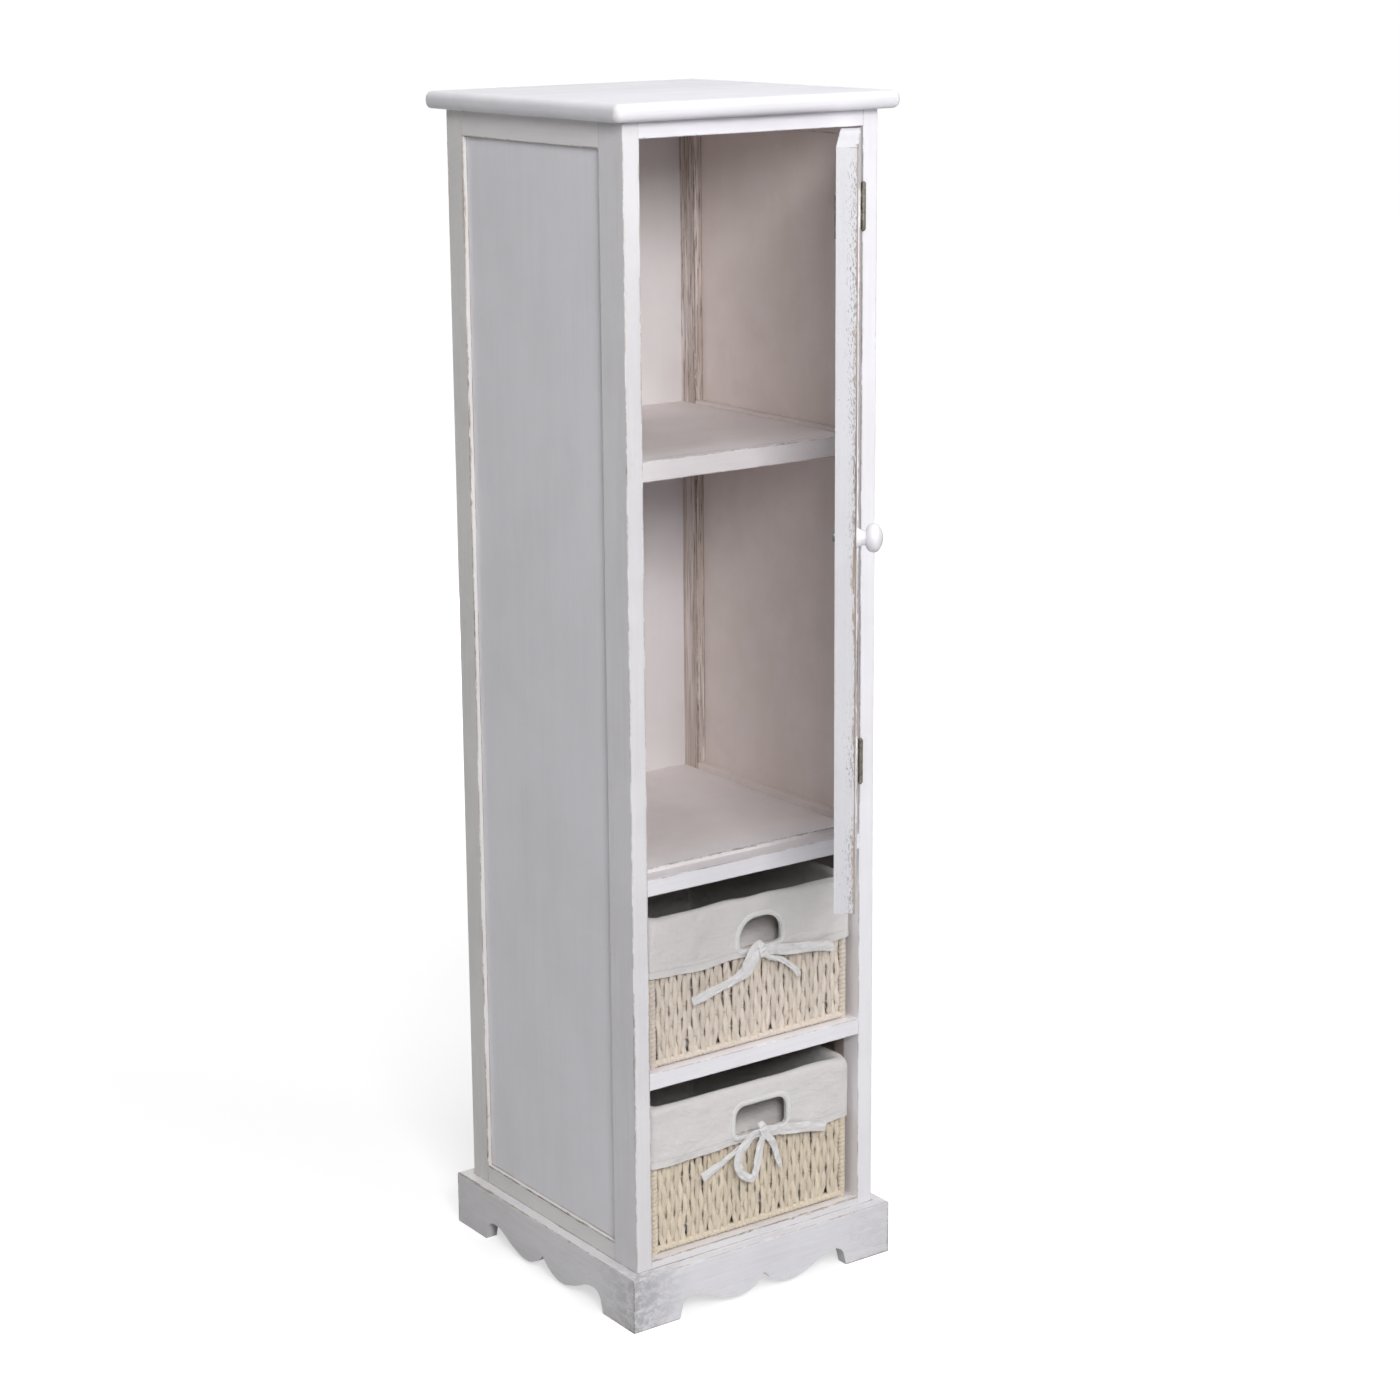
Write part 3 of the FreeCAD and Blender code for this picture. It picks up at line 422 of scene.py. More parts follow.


# Woodwork: each board has its own grain direction, edges and amount of wear

# How a board is painted: the axis its grain runs along, the wear of its edges, the rubbing all
# over it, how far in the wear reaches (m) and how warm its white is. Then, for one worn side, that
# side in the board's own axes and the share of the way to it where wear starts. Last come how far
# it takes the inner paint, the tone of its white, old stain, dirt on its ends and the painted shade
# of the door's free edge face.
Finish = namedtuple(
    "Finish", "grain wear rub reach warmth worn_side side_start inner tone stain dirt edge",
    defaults=((0, 0, 0), 0.0, 1.0, 1.0, 0.0, 0.0, 1.0))
WOOD = {
    "top_board": Finish("X", 0.10, 0.03, 0.003, 0.0, tone=0.95),
    "left_front_stile": Finish("Z", 0.40, 0.16, 0.002, 0.2, tone=0.93),
    "right_front_stile": Finish("Z", 0.35, 0.04, 0.002, 0.0),
    "left_rear_stile": Finish("Z", 0.50, 0.20, 0.003, 0.8),
    "right_rear_stile": Finish("Z", 0.60, 0.35, 0.004, 0.8, stain=0.9),
    "top_rail": Finish("Y", 0.35, 0.10, 0.002, 0.6),
    "bottom_rail": Finish("Y", 0.55, 0.18, 0.003, 0.7),
    "side_panel": Finish("Z", 0.0, 0.03, 0.003, 0.0),
    "back_panel": Finish("Z", 0.0, 0.03, 0.003, 0.1, inner=0.35, tone=0.98),
    "back_top_rail": Finish("X", 0.5, 0.15, 0.003, 0.5),
    "back_bottom_rail": Finish("X", 0.5, 0.15, 0.003, 0.5),
    "front_top_rail": Finish("X", 0.1, 0.03, 0.002, 0.0),
    "shelf_rail": Finish("X", 0.35, 0.12, 0.002, 0.0),
    "bottom_shelf_rail": Finish("X", 0.70, 0.30, 0.006, 0.3, tone=0.96),
    "shelf_board": Finish("X", 0.35, 0.06, 0.003, 0.3, inner=0.55, tone=1.08),
    "side_cleats": Finish("Y", 0.5, 0.2, 0.003, 0.5),
    "rear_cleats": Finish("X", 0.5, 0.2, 0.003, 0.5),
    "front_apron": Finish("X", 0.60, 0.30, 0.0025, 0.0, tone=0.94, dirt=1.1),
    "left_apron": Finish("Y", 0.60, 0.30, 0.0025, 0.35, dirt=0.7),
    "right_apron": Finish("Y", 0.45, 0.30, 0.003, 0.3),
    "back_apron": Finish("X", 0.4, 0.25, 0.003, 0.3),
    # The free stile's edge face is a painted shade darker
    "door_free_stile": Finish("Z", 0.90, 0.12, 0.0065, 0.0, (0, -1, 0), -0.3, tone=0.97, edge=0.82),
    "door_hinge_stile": Finish("Z", 0.6, 0.2, 0.004, 0.0),
    "door_top_rail": Finish("X", 0.05, 0.05, 0.002, 0.0),
    "door_bottom_rail": Finish("X", 0.4, 0.2, 0.003, 0.0),
    "door_panel": Finish("Z", 0.0, 0.06, 0.003, 0.0),
}
TURN_TO = {
    "X": Matrix.Identity(3),
    "Y": Matrix.Rotation(math.radians(90), 3, "Z"),
    "Z": Matrix.Rotation(math.radians(-90), 3, "Y"),
}
# How far the box that holds the inner faces of the case reaches past them
SKIN = 0.001


def wood_kind(node):
    """The row of the wood table that a CAD node takes: the longest that its name ends in."""
    kinds = [kind for kind in WOOD if ("_" + node).endswith("_" + kind)]
    return max(kinds, key=len, default=None)


def in_board_axes(place, node, grain, yaw):
    """Coordinates from a board's middle whose X runs along its grain, and the board's half size."""
    axes = Matrix.Rotation(yaw, 3, "Z") @ TURN_TO[grain]
    back = axes.inverted()
    corners = [back @ vertex.co for vertex in frame["nodes"][node].data.vertices]
    low = Vector([min(values) for values in zip(*corners)])
    high = Vector([max(values) for values in zip(*corners)])
    local = add_node(place.id_data, "Mapping", place, options={"vector_type": "TEXTURE"},
                     Location=axes @ ((low + high) / 2), Rotation=axes.to_euler("XYZ"))
    return local.outputs[0], (high - low) / 2


def inside_case():
    """Two corners of the space that the inner faces of the case close in."""
    low = Vector((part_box("left_side_panel")[1].x - SKIN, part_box("left_front_stile")[0].y + SKIN,
                  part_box("bottom_shelf_board")[0].z - SKIN))
    high = Vector((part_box("right_side_panel")[0].x + SKIN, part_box("back_panel")[0].y + SKIN,
                   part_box("top_board")[0].z + SKIN))
    return low, high


def inner_share(place):
    """How far a place counts as inside the case: less near its front."""
    low, high = inside_case()
    return times(box_share(place, low, high), ramp(split(place)[1], low.y, low.y + 0.07, 0.3, 1.0))


def in_bays(place):
    """One behind the baskets' fronts and under the middle shelf, zero elsewhere: painted shade
    there.
    """
    low, high = inside_case()
    low.y += 0.02
    high.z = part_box("middle_shelf_board")[0].z + SKIN
    return box_share(place, low, high, 0.002)


def whitewash(place, brushed, inside, bold, finish, settings):
    """The paint: its white, brush marks, clouds and pores; in the bays raw wood dark as painted
    shade.
    """
    white = Vector(settings.paint).lerp(Vector(settings.warm_paint), finish.warmth) * finish.tone
    paint = mixed(white, settings.inner_paint, inside, finish.inner)
    thin = times(brushed["Thin Paint"], 0.12 + finish.rub * 0.7, clamp=True)
    paint = mixed(paint, settings.thin_paint, thin, bold, blend="MULTIPLY")
    paint = mixed(paint, settings.cloud, clouds(place, 0.10), 0.25 + finish.rub * 0.4,
                  blend="MULTIPLY")
    pores = times(brushed["Pores"], 0.02 + finish.rub * 0.3, clamp=True)
    paint = mixed(paint, settings.pore, pores, bold)
    paint = mixed(paint, settings.blotch, clouds(place, 0.045), inside, 0.25 * finish.inner,
                  blend="MULTIPLY")
    # In the bays behind the baskets, raw wood dark enough to paint their shade
    return mixed(paint, settings.raw_wood, in_bays(place), 0.85)


def chip_edge(paint, local, half, shade, settings):
    """The door's free edge: painted shade on its face, and grey chips that thicken to the outer
    face.
    """
    _, across, up = split(local)
    face = ramp(up, half.z - 0.0016, half.z - 0.0006)
    # Painted shade: the edge face is darker because it turns away from the light
    paint = mixed(paint, (shade, shade, shade), face, blend="MULTIPLY")
    outer = ramp(across, half.y * 0.5, -half.y, 0.0, 0.14)
    specks = plus(streaks(local, (260, 850, 850), 5, 0.75, 0.3), outer)
    places = ramp(streaks(local, (7, 9, 9), 2), 0.40, 0.52, 0.15, 1.0)
    chips = ramp(specks, 0.60, 0.72)
    return mixed(paint, shaded(settings.dirt, 0.6), chips, face, places, 0.85)


def soil_ends(paint, local, half, amount, settings):
    """Grey dirt rubbed into the ends of a plinth board, where feet and mops reach it."""
    along = split(local)[0]
    ends = plus(ramp(along, -half.x * 0.5, -half.x, 0.0, 1.15),
                ramp(along, half.x * 0.55, half.x, 0.0, 0.25))
    specks = ramp(streaks(local, (80, 130, 130), 5, 0.75, 0.2), 0.34, 0.62)
    return mixed(paint, settings.dirt, specks, ends, 0.6 * amount)


def stain_streaks(paint, local, inside, amount, settings):
    """Thin paint over old stained wood: a tan wash with fine dark streaks along the grain."""
    wash = ramp(streaks(local, (7, 190, 190), 4, 0.6), 0.34, 0.58)
    paint = mixed(paint, settings.bare_wood, wash, inside, 0.62 * amount)
    fine = ramp(streaks(local, (28, 760, 760), 5, 0.68, 0.3), 0.52, 0.62)
    worst = ramp(streaks(local, (3.5, 40, 40), 2), 0.36, 0.60)
    return mixed(paint, settings.old_wood, fine, worst, inside, 0.9 * amount)


def line_joint(paint, place, node, settings):
    """The thin brown line where paint has cracked round a panel, along its stiles and rails."""
    side = node.split("_")[0]
    low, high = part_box(node)
    low = (low.x - 0.01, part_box(side + "_front_stile")[1].y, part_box(side + "_bottom_rail")[1].z)
    high = (high.x + 0.01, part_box(side + "_rear_stile")[0].y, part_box(side + "_top_rail")[0].z)
    line = minus(1.0, box_share(place, low, high, 0.0016))
    broken = ramp(streaks(place, (50, 22, 22), 4, 0.7), 0.34, 0.60, 0.35, 1.0)
    return mixed(paint, settings.bare_wood, line, broken)


def rub_through(paint, worn, brushed, bold, finish, settings):
    """Bare wood where the paint is gone: in strokes, in patches near the edges and on the arris."""
    bare = mixed(settings.bare_wood, settings.old_wood, brushed["Thin Paint"])
    strokes = times(worn["Strokes"], finish.rub * 0.9, clamp=True)
    paint = mixed(paint, settings.pore, strokes, bold)
    paint = mixed(paint, bare, worn["Mask"], min(1.0, 0.4 + finish.wear * 0.5))
    return mixed(paint, bare, worn["Arris"], min(0.9, 0.25 + finish.wear * 0.7))


def painted_board(node, kind, settings, yaw=0.0):
    """Whitewash over pale wood, thin along the grain and rubbed through along the edges."""
    finish = WOOD[kind]
    material, surface, place = start_material("paint_" + node, 0.6)
    local, half = in_board_axes(place, node, finish.grain, yaw)
    draw = random.Random(node)
    seed = [draw.uniform(-9, 9) for _ in range(3)]
    brushed = brushed_grain(Vector=local, Seed=seed)
    inside = inner_share(place)
    bold = minus(1.0, times(inside, 0.6))
    paint = whitewash(place, brushed, inside, bold, finish, settings)
    # Painted shade on the door's free edge face, with chips of wear on it
    if finish.edge < 1.0:
        paint = chip_edge(paint, local, half, finish.edge, settings)
    if finish.dirt:
        paint = soil_ends(paint, local, half, finish.dirt, settings)
    if finish.stain:
        paint = stain_streaks(paint, local, inside, finish.stain, settings)
    if kind == "side_panel":
        paint = line_joint(paint, place, node, settings)
    if finish.wear:
        worn = edge_wear(Vector=local, Half_Size=half, Reach=finish.reach, Seed=seed,
                         Amount=finish.wear * settings.wear, Worn_Side=finish.worn_side,
                         All_Sides=0.0 if any(finish.worn_side) else 1.0,
                         Side_Start=finish.side_start)
        paint = rub_through(paint, worn, brushed, bold, finish, settings)
    rough = ramp(brushed["Thin Paint"], 0.0, 1.0, 0.52, 0.66)
    coat(surface, paint, brushed["Height"], 0.00010 + finish.rub * 0.0006, Roughness=rough)
    return material


# Fittings

# Metals: colour, tarnished colour, roughness, size of the clouds of tarnish, and the CAD nodes
METALS = {
    "antique_brass": ((0.31, 0.285, 0.23), (0.15, 0.135, 0.11), 0.46, 0.006,
                      ("hinge_pins", "lower_hinge_frame_leaf", "upper_hinge_frame_leaf",
                       "lower_hinge_door_leaf", "upper_hinge_door_leaf")),
    "zinc_steel": ((0.34, 0.34, 0.35), (0.22, 0.22, 0.23), 0.40, 0.003,
                   ("case_screws", "door_screws", "knob_screw")),
    "dull_steel": ((0.13, 0.135, 0.15), (0.07, 0.07, 0.08), 0.55, 0.004, ("strike_plate",)),
    "magnet_iron": ((0.16, 0.16, 0.165), (0.09, 0.09, 0.09), 0.5, 0.004, ("catch_magnet",)),
}


def metal_material(name, colour, dark, roughness, size):
    """Worn metal with tarnish in clouds."""
    material, surface, place = start_material(name, roughness, 0.9)
    tarnish = clouds(place, size)
    rough = ramp(tarnish, 0, 1, roughness - 0.08, roughness + 0.18)
    coat(surface, mixed(colour, dark, tarnish), tarnish, 0.00008, Roughness=rough)
    return material


def moulded_material(name, colour, roughness):
    """Moulded plastic with a fine even texture."""
    material, surface, place = start_material(name, roughness)
    grit = clouds(place, 0.0015)
    coat(surface, mixed(colour, shaded(colour, 0.8), grit, 0.25), grit, 0.00005)
    return material


def knob_material(settings):
    """Turned wood under thicker, smoother paint, with faint rings from the lathe."""
    material, surface, place = start_material("paint_door_knob", 0.42)
    local = in_board_axes(place, "door_knob", "Y", DOOR_TURN)[0]
    tone = mixed(shaded(settings.paint, 0.92), shaded(settings.thin_paint, 0.92),
                 clouds(local, 0.02), 0.4)
    coat(surface, tone, streaks(local, (900, 12, 12), 2), 0.00012)
    return material


# Baskets: wound rods and woven strands

# A basket's wound rods: their radii, and the pitch of the rope round them
POST, RIM = 0.004, 0.0037
POST_PITCH, RIM_PITCH = 0.0044, 0.0050
# The handle opening: its middle from the middle of the basket's foot, its height, the radii of
# its upper corners and of its lower ones, and the heights between which the strands leave it free
HOLE_X, HOLE_Z, HOLE_HEIGHT = 0.0095, 0.1100, 0.0285
ROUND_TOP, ROUND_FOOT = {"upper": 0.019, "lower": 0.011}, 0.005
HOLE_IN_WALL = (0.0950, 0.1265)
# Levels at which the walls' strands cross over, and the spacing of the base's stakes
STAKE_ROWS, BASE_PITCH = 8, 0.0141


def basket_box(name):
    """The middle of a basket's foot, half its width, half its depth, and its height."""
    low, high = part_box(name + "_basket_frame")
    centre = Vector(((low.x + high.x) / 2, (low.y + high.y) / 2, low.z))
    return centre, (high.x - low.x) / 2, (high.y - low.y) / 2, high.z - low.z


def rope_material(name, settings, tint, grain):
    """Twisted paper rope: pale, each strand with its own tone, with painted shade between strands.
    """
    material, surface, place = start_material(name, 0.82)
    tree = place.id_data
    tone, depth = (add_node(tree, "Attribute", options={"attribute_name": number}).outputs["Fac"]
                   for number in ("strand_tone", "strand_depth"))
    turned = add_node(tree, "Mapping", place, Rotation=grain, Scale=(900, 900, 520))
    twist = rope_twist(Vector=turned.outputs[0])
    light = mixed(tint, shaded(tint, 0.84), tone)
    light = mixed(light, shaded(settings.rope_straw, 0.93), clouds(place, 0.03), 0.30)
    tan = (tint[0] * 0.80, tint[1] * 0.74, tint[2] * 0.66)
    light = mixed(light, tan, twist["Fibres"], 0.24)
    # Painted shade: the rope darkens toward its shade colour where it lies deeper, between strands,
    # on stakes and in rod windings
    light = mixed(light, settings.rope_shade, ramp(depth, 0.28, 1.0, 0.0, 0.85))
    coat(surface, light, twist["Height"], 0.0011, Sheen_Weight=0.15)
    return material


def finish_rope(piece, name, rope, angle, grain, settings, *nodes):
    """Gives a piece of a basket its rope, which takes its colour from the basket."""
    pale = name == "upper"
    material = rope_material(f"{name}_basket_{rope}_rope", settings,
                             settings.rope_cream if pale else settings.rope_straw, grain)
    finish_piece(piece, angle, "basket_" + name, material, "wicker_pale" if pale else "wicker_straw",
                 *nodes)


def mark(piece, **numbers):
    """Stores numbers on every vertex of a piece, for its material. Some follow from its place."""
    for name, number in numbers.items():
        layer = piece.data.attributes.get(name) or piece.data.attributes.new(name, "FLOAT", "POINT")
        for index, vertex in enumerate(piece.data.vertices):
            layer.data[index].value = number(vertex.co) if callable(number) else number


def add_cylinder(sides, radius, length, place, turn=(0, 0, 0)):
    bpy.ops.mesh.primitive_cylinder_add(vertices=sides, radius=radius, depth=length,
                                        location=place, rotation=turn)
    return bpy.context.object


def model_strand(length, width, thickness, sides, steps, swing, pitch, phase, draw):
    """One strand with its foot at the origin. It swings out over one stake, in behind the next."""
    strand = add_cylinder(sides, 0.5, length, (0, 0, length / 2))
    strand.scale = (width, thickness, 1)
    settle(strand, "strand")
    rings = max(2, round(steps * length / pitch))
    heights = [length * step / rings for step in range(rings + 1)]
    with editing(strand):
        for height in heights[1:-1]:
            bisect_level(height)
        for height in heights:
            select_parts(strand, "verts", lambda v: abs(v.co.z - height) < 1e-6)
            side = math.cos(math.pi * height / pitch + phase)
            broad = 1.0 + 0.05 * side + draw.uniform(-0.09, 0.09)
            bpy.ops.transform.resize(value=(broad, 1.0 + 0.10 * side, 1),
                                     center_override=(0, 0, height))
            bpy.ops.transform.translate(value=(draw.uniform(-0.11, 0.11) * width,
                                               -swing * (side + draw.uniform(-0.2, 0.2)), 0))
    # How far back each vertex lies, for the painted shade of the rope where the strand goes in
    # behind a stake
    reach = swing + thickness / 2
    mark(strand, strand_depth=lambda place: (place.y + reach) / (2 * reach), strand_tone=0.0)
    return strand


def cut_strand(strand, low, high):
    """Leaves the part of a strand between two heights, closed at its cut ends."""
    with editing(strand):
        for height, heading in ((low, -1), (high, 1)):
            if height is not None:
                bisect_level(height, heading, use_fill=True, clear_outer=True)


def weave_wall(models, width, spacing, draw, splay, opening=None):
    """Strands side by side across a wall, in bunches with gaps between them.

    Each bunch draws together below the height of the splay. An opening is its left and right
    edges, foot and head.
    """
    count = round(width / spacing)
    step = width / count
    strands = []
    bunch, size = 0, draw.randint(4, 7)
    for turn in range(count):
        x = -width / 2 + step * (turn + 0.5)
        pull = ((size - 1) / 2 - bunch) * draw.uniform(0.0004, 0.0009)
        bunch += 1
        if bunch == size:
            bunch, size = 0, draw.randint(4, 7)
        spans = [(None, None)]
        if opening and opening[0] < x < opening[1]:
            spans = [(None, opening[2]), (opening[3], None)]
        model = models[turn % 2][draw.randrange(len(models[turn % 2]))]
        tone = draw.random()
        lean = draw.uniform(-0.016, 0.016)
        for low, high in spans:
            strand = copy_of(model)
            cut_strand(strand, low, high)
            mark(strand, strand_tone=tone)
            for vertex in strand.data.vertices:
                vertex.co.x += pull * max(0.0, 1 - vertex.co.z / splay) ** 1.5
            strand.location = (x + draw.uniform(-0.0004, 0.0004), 0, 0)
            strand.rotation_euler = (0, lean, 0)
            strands.append(strand)
    return strands


def model_stakes(width, length, pitch, radius, opening=None):
    """The thin level rods that the strands go over and under, except across an opening."""
    stakes = []
    for turn in range(1, int(length / pitch) + 1):
        if not (opening and opening[2] < turn * pitch < opening[3]):
            stakes.append(add_cylinder(6, radius, width, (0, 0, turn * pitch), (0, math.pi / 2, 0)))
            # The stakes get a middle share of the rope's painted shade
            mark(stakes[-1], strand_depth=0.6, strand_tone=0.5)
    return stakes


def wound_rod(start, end, radius, pitch, draw):
    """A rod wound with rope, modelled upright and then laid along its line."""
    run = Vector(end) - Vector(start)
    turns = max(2, round(run.length / pitch))
    step = run.length / turns
    rope = radius * 0.24
    bpy.ops.mesh.primitive_circle_add(vertices=6, radius=rope, fill_type="NOTHING",
                                      location=(radius - rope, 0, 0), rotation=(math.pi / 2, 0, 0))
    winding = bpy.context.object
    winding.scale = (1, step / rope / 1.9, 1)
    settle(winding, "winding")
    modify(winding, "SCREW", axis="Z", angle=math.tau, iterations=turns, screw_offset=step, steps=9,
           render_steps=9)
    with editing(winding):
        select_parts(winding, "edges", lambda edge: edge.is_boundary)
        bpy.ops.mesh.edge_face_add()
        turn_faces_out()
    core = add_cylinder(8, radius * 0.62, run.length, (0, 0, run.length / 2))
    # The windings get painted shade toward the core, and the core is painted almost fully shaded
    mark(winding, strand_tone=draw.random(), strand_depth=lambda place: max(
        0.0, 1.0 - (math.hypot(place.x, place.y) - radius * 0.45) / (radius * 0.55)))
    mark(core, strand_tone=draw.random(), strand_depth=0.9)
    rod = join([winding, core], "rod")
    rod.matrix_world = (Matrix.Translation(Vector(start))
                        @ run.to_track_quat("Z", "Y").to_matrix().to_4x4())
    return settle(rod, "rod")


def wind_frame(name, draw, settings):
    """The frame of one basket: four posts, and rims at its foot and at its top."""
    centre, half_x, half_y, tall = basket_box(name)
    x, y = half_x - POST, half_y - POST
    rods = [wound_rod((sx * x, sy * y, 0), (sx * x, sy * y, tall), POST, POST_PITCH, draw)
            for sx in (-1, 1) for sy in (-1, 1)]
    for z in (RIM, tall - RIM):
        for side in (-1, 1):
            rods.append(wound_rod((-x, side * y, z), (x, side * y, z), RIM, RIM_PITCH, draw))
            rods.append(wound_rod((side * x, -y, z), (side * x, y, z), RIM, RIM_PITCH, draw))
    wound = join(rods, name + "_basket_wound_rods", centre)
    finish_rope(wound, name, "rod", 60, (0.4, 0.7, 0.3), settings, name + "_basket_frame")


def weave_sides(name, draw, settings):
    """The four woven walls of one basket. The front one leaves the handle opening free."""
    prefix = name + "_basket_"
    centre, half_x, half_y, tall = basket_box(name)
    spacing = getattr(settings, "strand_" + name)
    foot = 0.0045
    length = tall - 2 * foot
    pitch = length / STAKE_ROWS
    models = [[model_strand(length, spacing * 1.14, thickness=0.0034, sides=8, steps=4,
                            swing=0.0011, pitch=pitch, phase=phase + draw.uniform(-0.5, 0.5),
                            draw=draw)
               for _ in range(6)] for phase in (0.0, math.pi)]
    half_hole = getattr(settings, "opening_" + name) / 2 + 0.004
    opening = (HOLE_X - half_hole, HOLE_X + half_hole, *(z - foot for z in HOLE_IN_WALL))
    x, y = half_x - POST, half_y - POST
    for side, long, turn, place, gap, nodes in (
            ("front", x, 0.0, (0, -y), opening, [prefix + "front_wall"]),
            ("rear", x, math.pi, (0, y), None, []),
            ("left", y, -math.pi / 2, (-x, 0), None, [prefix + "walls"]),
            ("right", y, math.pi / 2, (x, 0), None, [])):
        width = 2 * (long - POST)
        strands = weave_wall(models, width, spacing, draw, splay=0.042, opening=gap)
        stakes = model_stakes(width, length - pitch, pitch, radius=0.0006, opening=gap)
        wall = join(strands + stakes, f"{prefix}{side}_weave", centre + Vector((*place, foot)),
                    (0, 0, turn))
        finish_rope(wall, name, side + "_weave", 70, (0, 0, 0), settings, *nodes)
    bpy.data.batch_remove(sum(models, []))


def weave_base(name, draw, settings):
    """The woven base of one basket."""
    low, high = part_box(name + "_basket_base")
    spacing = getattr(settings, "strand_" + name)
    width, depth = high.x - low.x, high.y - low.y
    models = [[model_strand(depth, spacing * 1.10, thickness=0.0026, sides=5, steps=2,
                            swing=0.0009, pitch=BASE_PITCH, phase=phase, draw=draw)
               for _ in range(2)] for phase in (0.0, math.pi)]
    strands = weave_wall(models, width, spacing, draw, splay=0.001)
    stakes = model_stakes(width, depth - BASE_PITCH, BASE_PITCH, radius=0.0008)
    base = join(strands + stakes, name + "_basket_base_weave",
                (basket_box(name)[0].x, low.y, (low.z + high.z) / 2), (-math.pi / 2, 0, 0))
    finish_rope(base, name, "base", 70, (math.pi / 2, 0, 0), settings, name + "_basket_base")
    bpy.data.batch_remove(sum(models, []))


# Liners: a cotton bag that is folded over the rim, with a bound opening

# Where the photograph shows them wave: distance from the basket's middle, height over its foot
TOP_LINES = {
    "upper": ((-0.118, 0.1448), (-0.102, 0.1424), (-0.061, 0.1438), (-0.028, 0.1452),
              (-0.002, 0.1428), (0.018, 0.1446), (0.055, 0.1424), (0.100, 0.1398), (0.118, 0.1385)),
    "lower": ((-0.116, 0.1440), (-0.105, 0.1448), (-0.050, 0.1452), (0.024, 0.1444),
              (0.081, 0.1456), (0.100, 0.1440), (0.118, 0.1405)),
}
HEM_LINES = {
    "upper": ((-0.118, 0.0888), (-0.092, 0.0866), (-0.062, 0.0854), (-0.013, 0.0880),
              (0.025, 0.0835), (0.065, 0.0770), (0.089, 0.0805), (0.118, 0.0824)),
    "lower": ((-0.107, 0.0863), (-0.051, 0.0872), (-0.018, 0.0885), (0.040, 0.0860),
              (0.091, 0.0831), (0.118, 0.0838)),
}
# Rows of the cloth from the edge of the base, up the bag, over the rim and down the skirt: how far
# inside the frame's outline, and the height over the basket's foot
INWARD, FLOOR, BAG_TOP = 0.0088, 0.0074, 0.1340
RIM_TOP, SKIRT_TOP, HEM = 0.1440, 0.1400, 0.0860
BAG_ROWS, SKIRT_ROWS = 14, 8
ROWS = [(INWARD, FLOOR + (BAG_TOP - FLOOR) * turn / BAG_ROWS) for turn in range(BAG_ROWS + 1)]
ROWS += [(0.0086, 0.1395), (0.0070, 0.1426), (0.0036, RIM_TOP), (0.0004, 0.1432),
         (-0.0014, SKIRT_TOP)]
ROWS += [(-0.0016, SKIRT_TOP - (SKIRT_TOP - HEM) * (turn + 1) / SKIRT_ROWS)
         for turn in range(SKIRT_ROWS)]
# How far along the cloth, from the edge of the base, each row is, and the line of stitches
RUNS = [0.0, *accumulate(math.dist(last, row) for last, row in zip(ROWS, ROWS[1:]))]
STITCHES = 0.1936
CELLS_X, CELLS_Y = 26, 28


def opening_outline(name, settings, grow, y):
    """The handle opening's rounded face, which looks to -Y, grown for what is sewn round it."""
    width = getattr(settings, "opening_" + name) + 2 * grow
    height = HOLE_HEIGHT + 2 * grow
    bpy.ops.mesh.primitive_plane_add(size=1, location=(HOLE_X, y, HOLE_Z),
                                     rotation=(math.pi / 2, 0, 0))
    face = bpy.context.object
    face.scale = (width, height, 1)
    settle(face, "opening")
    with editing(face):
        for upper, radius in ((True, ROUND_TOP[name]), (False, ROUND_FOOT)):
            select_parts(face, "verts", lambda v: (v.co.z > HOLE_Z) == upper
                         and abs(abs(v.co.x - HOLE_X) - width / 2) < 1e-6
                         and abs(abs(v.co.z - HOLE_Z) - height / 2) < 1e-6)
            bpy.ops.mesh.bevel(affect="VERTICES", offset=radius + grow * 0.8, segments=10,
                               profile=0.5)
    return face


def side_of(place, half_x, half_y):
    """Outward direction of a point on the bag's outline."""
    reach_x, reach_y = abs(place.x) / half_x, abs(place.y) / half_y
    if abs(reach_x - reach_y) < 0.04:
        return Vector((math.copysign(0.7, place.x), math.copysign(0.7, place.y), 0))
    if reach_x > reach_y:
        return Vector((math.copysign(1, place.x), 0, 0))
    return Vector((0, math.copysign(1, place.y), 0))


def ripple(place, across, up, seed):
    """Noise at a place, as fine as these scales say, level and upright."""
    return noise.noise(Vector((place.x * across, place.y * across, place.z * up + seed)))


def calm(place, reach_x, reach_z):
    """Zero at the handle opening and one away from it: the cloth lies flat under its binding."""
    return held_in(math.hypot((place.x - HOLE_X) / reach_x, (place.z - HOLE_Z) / reach_z) - 0.8)


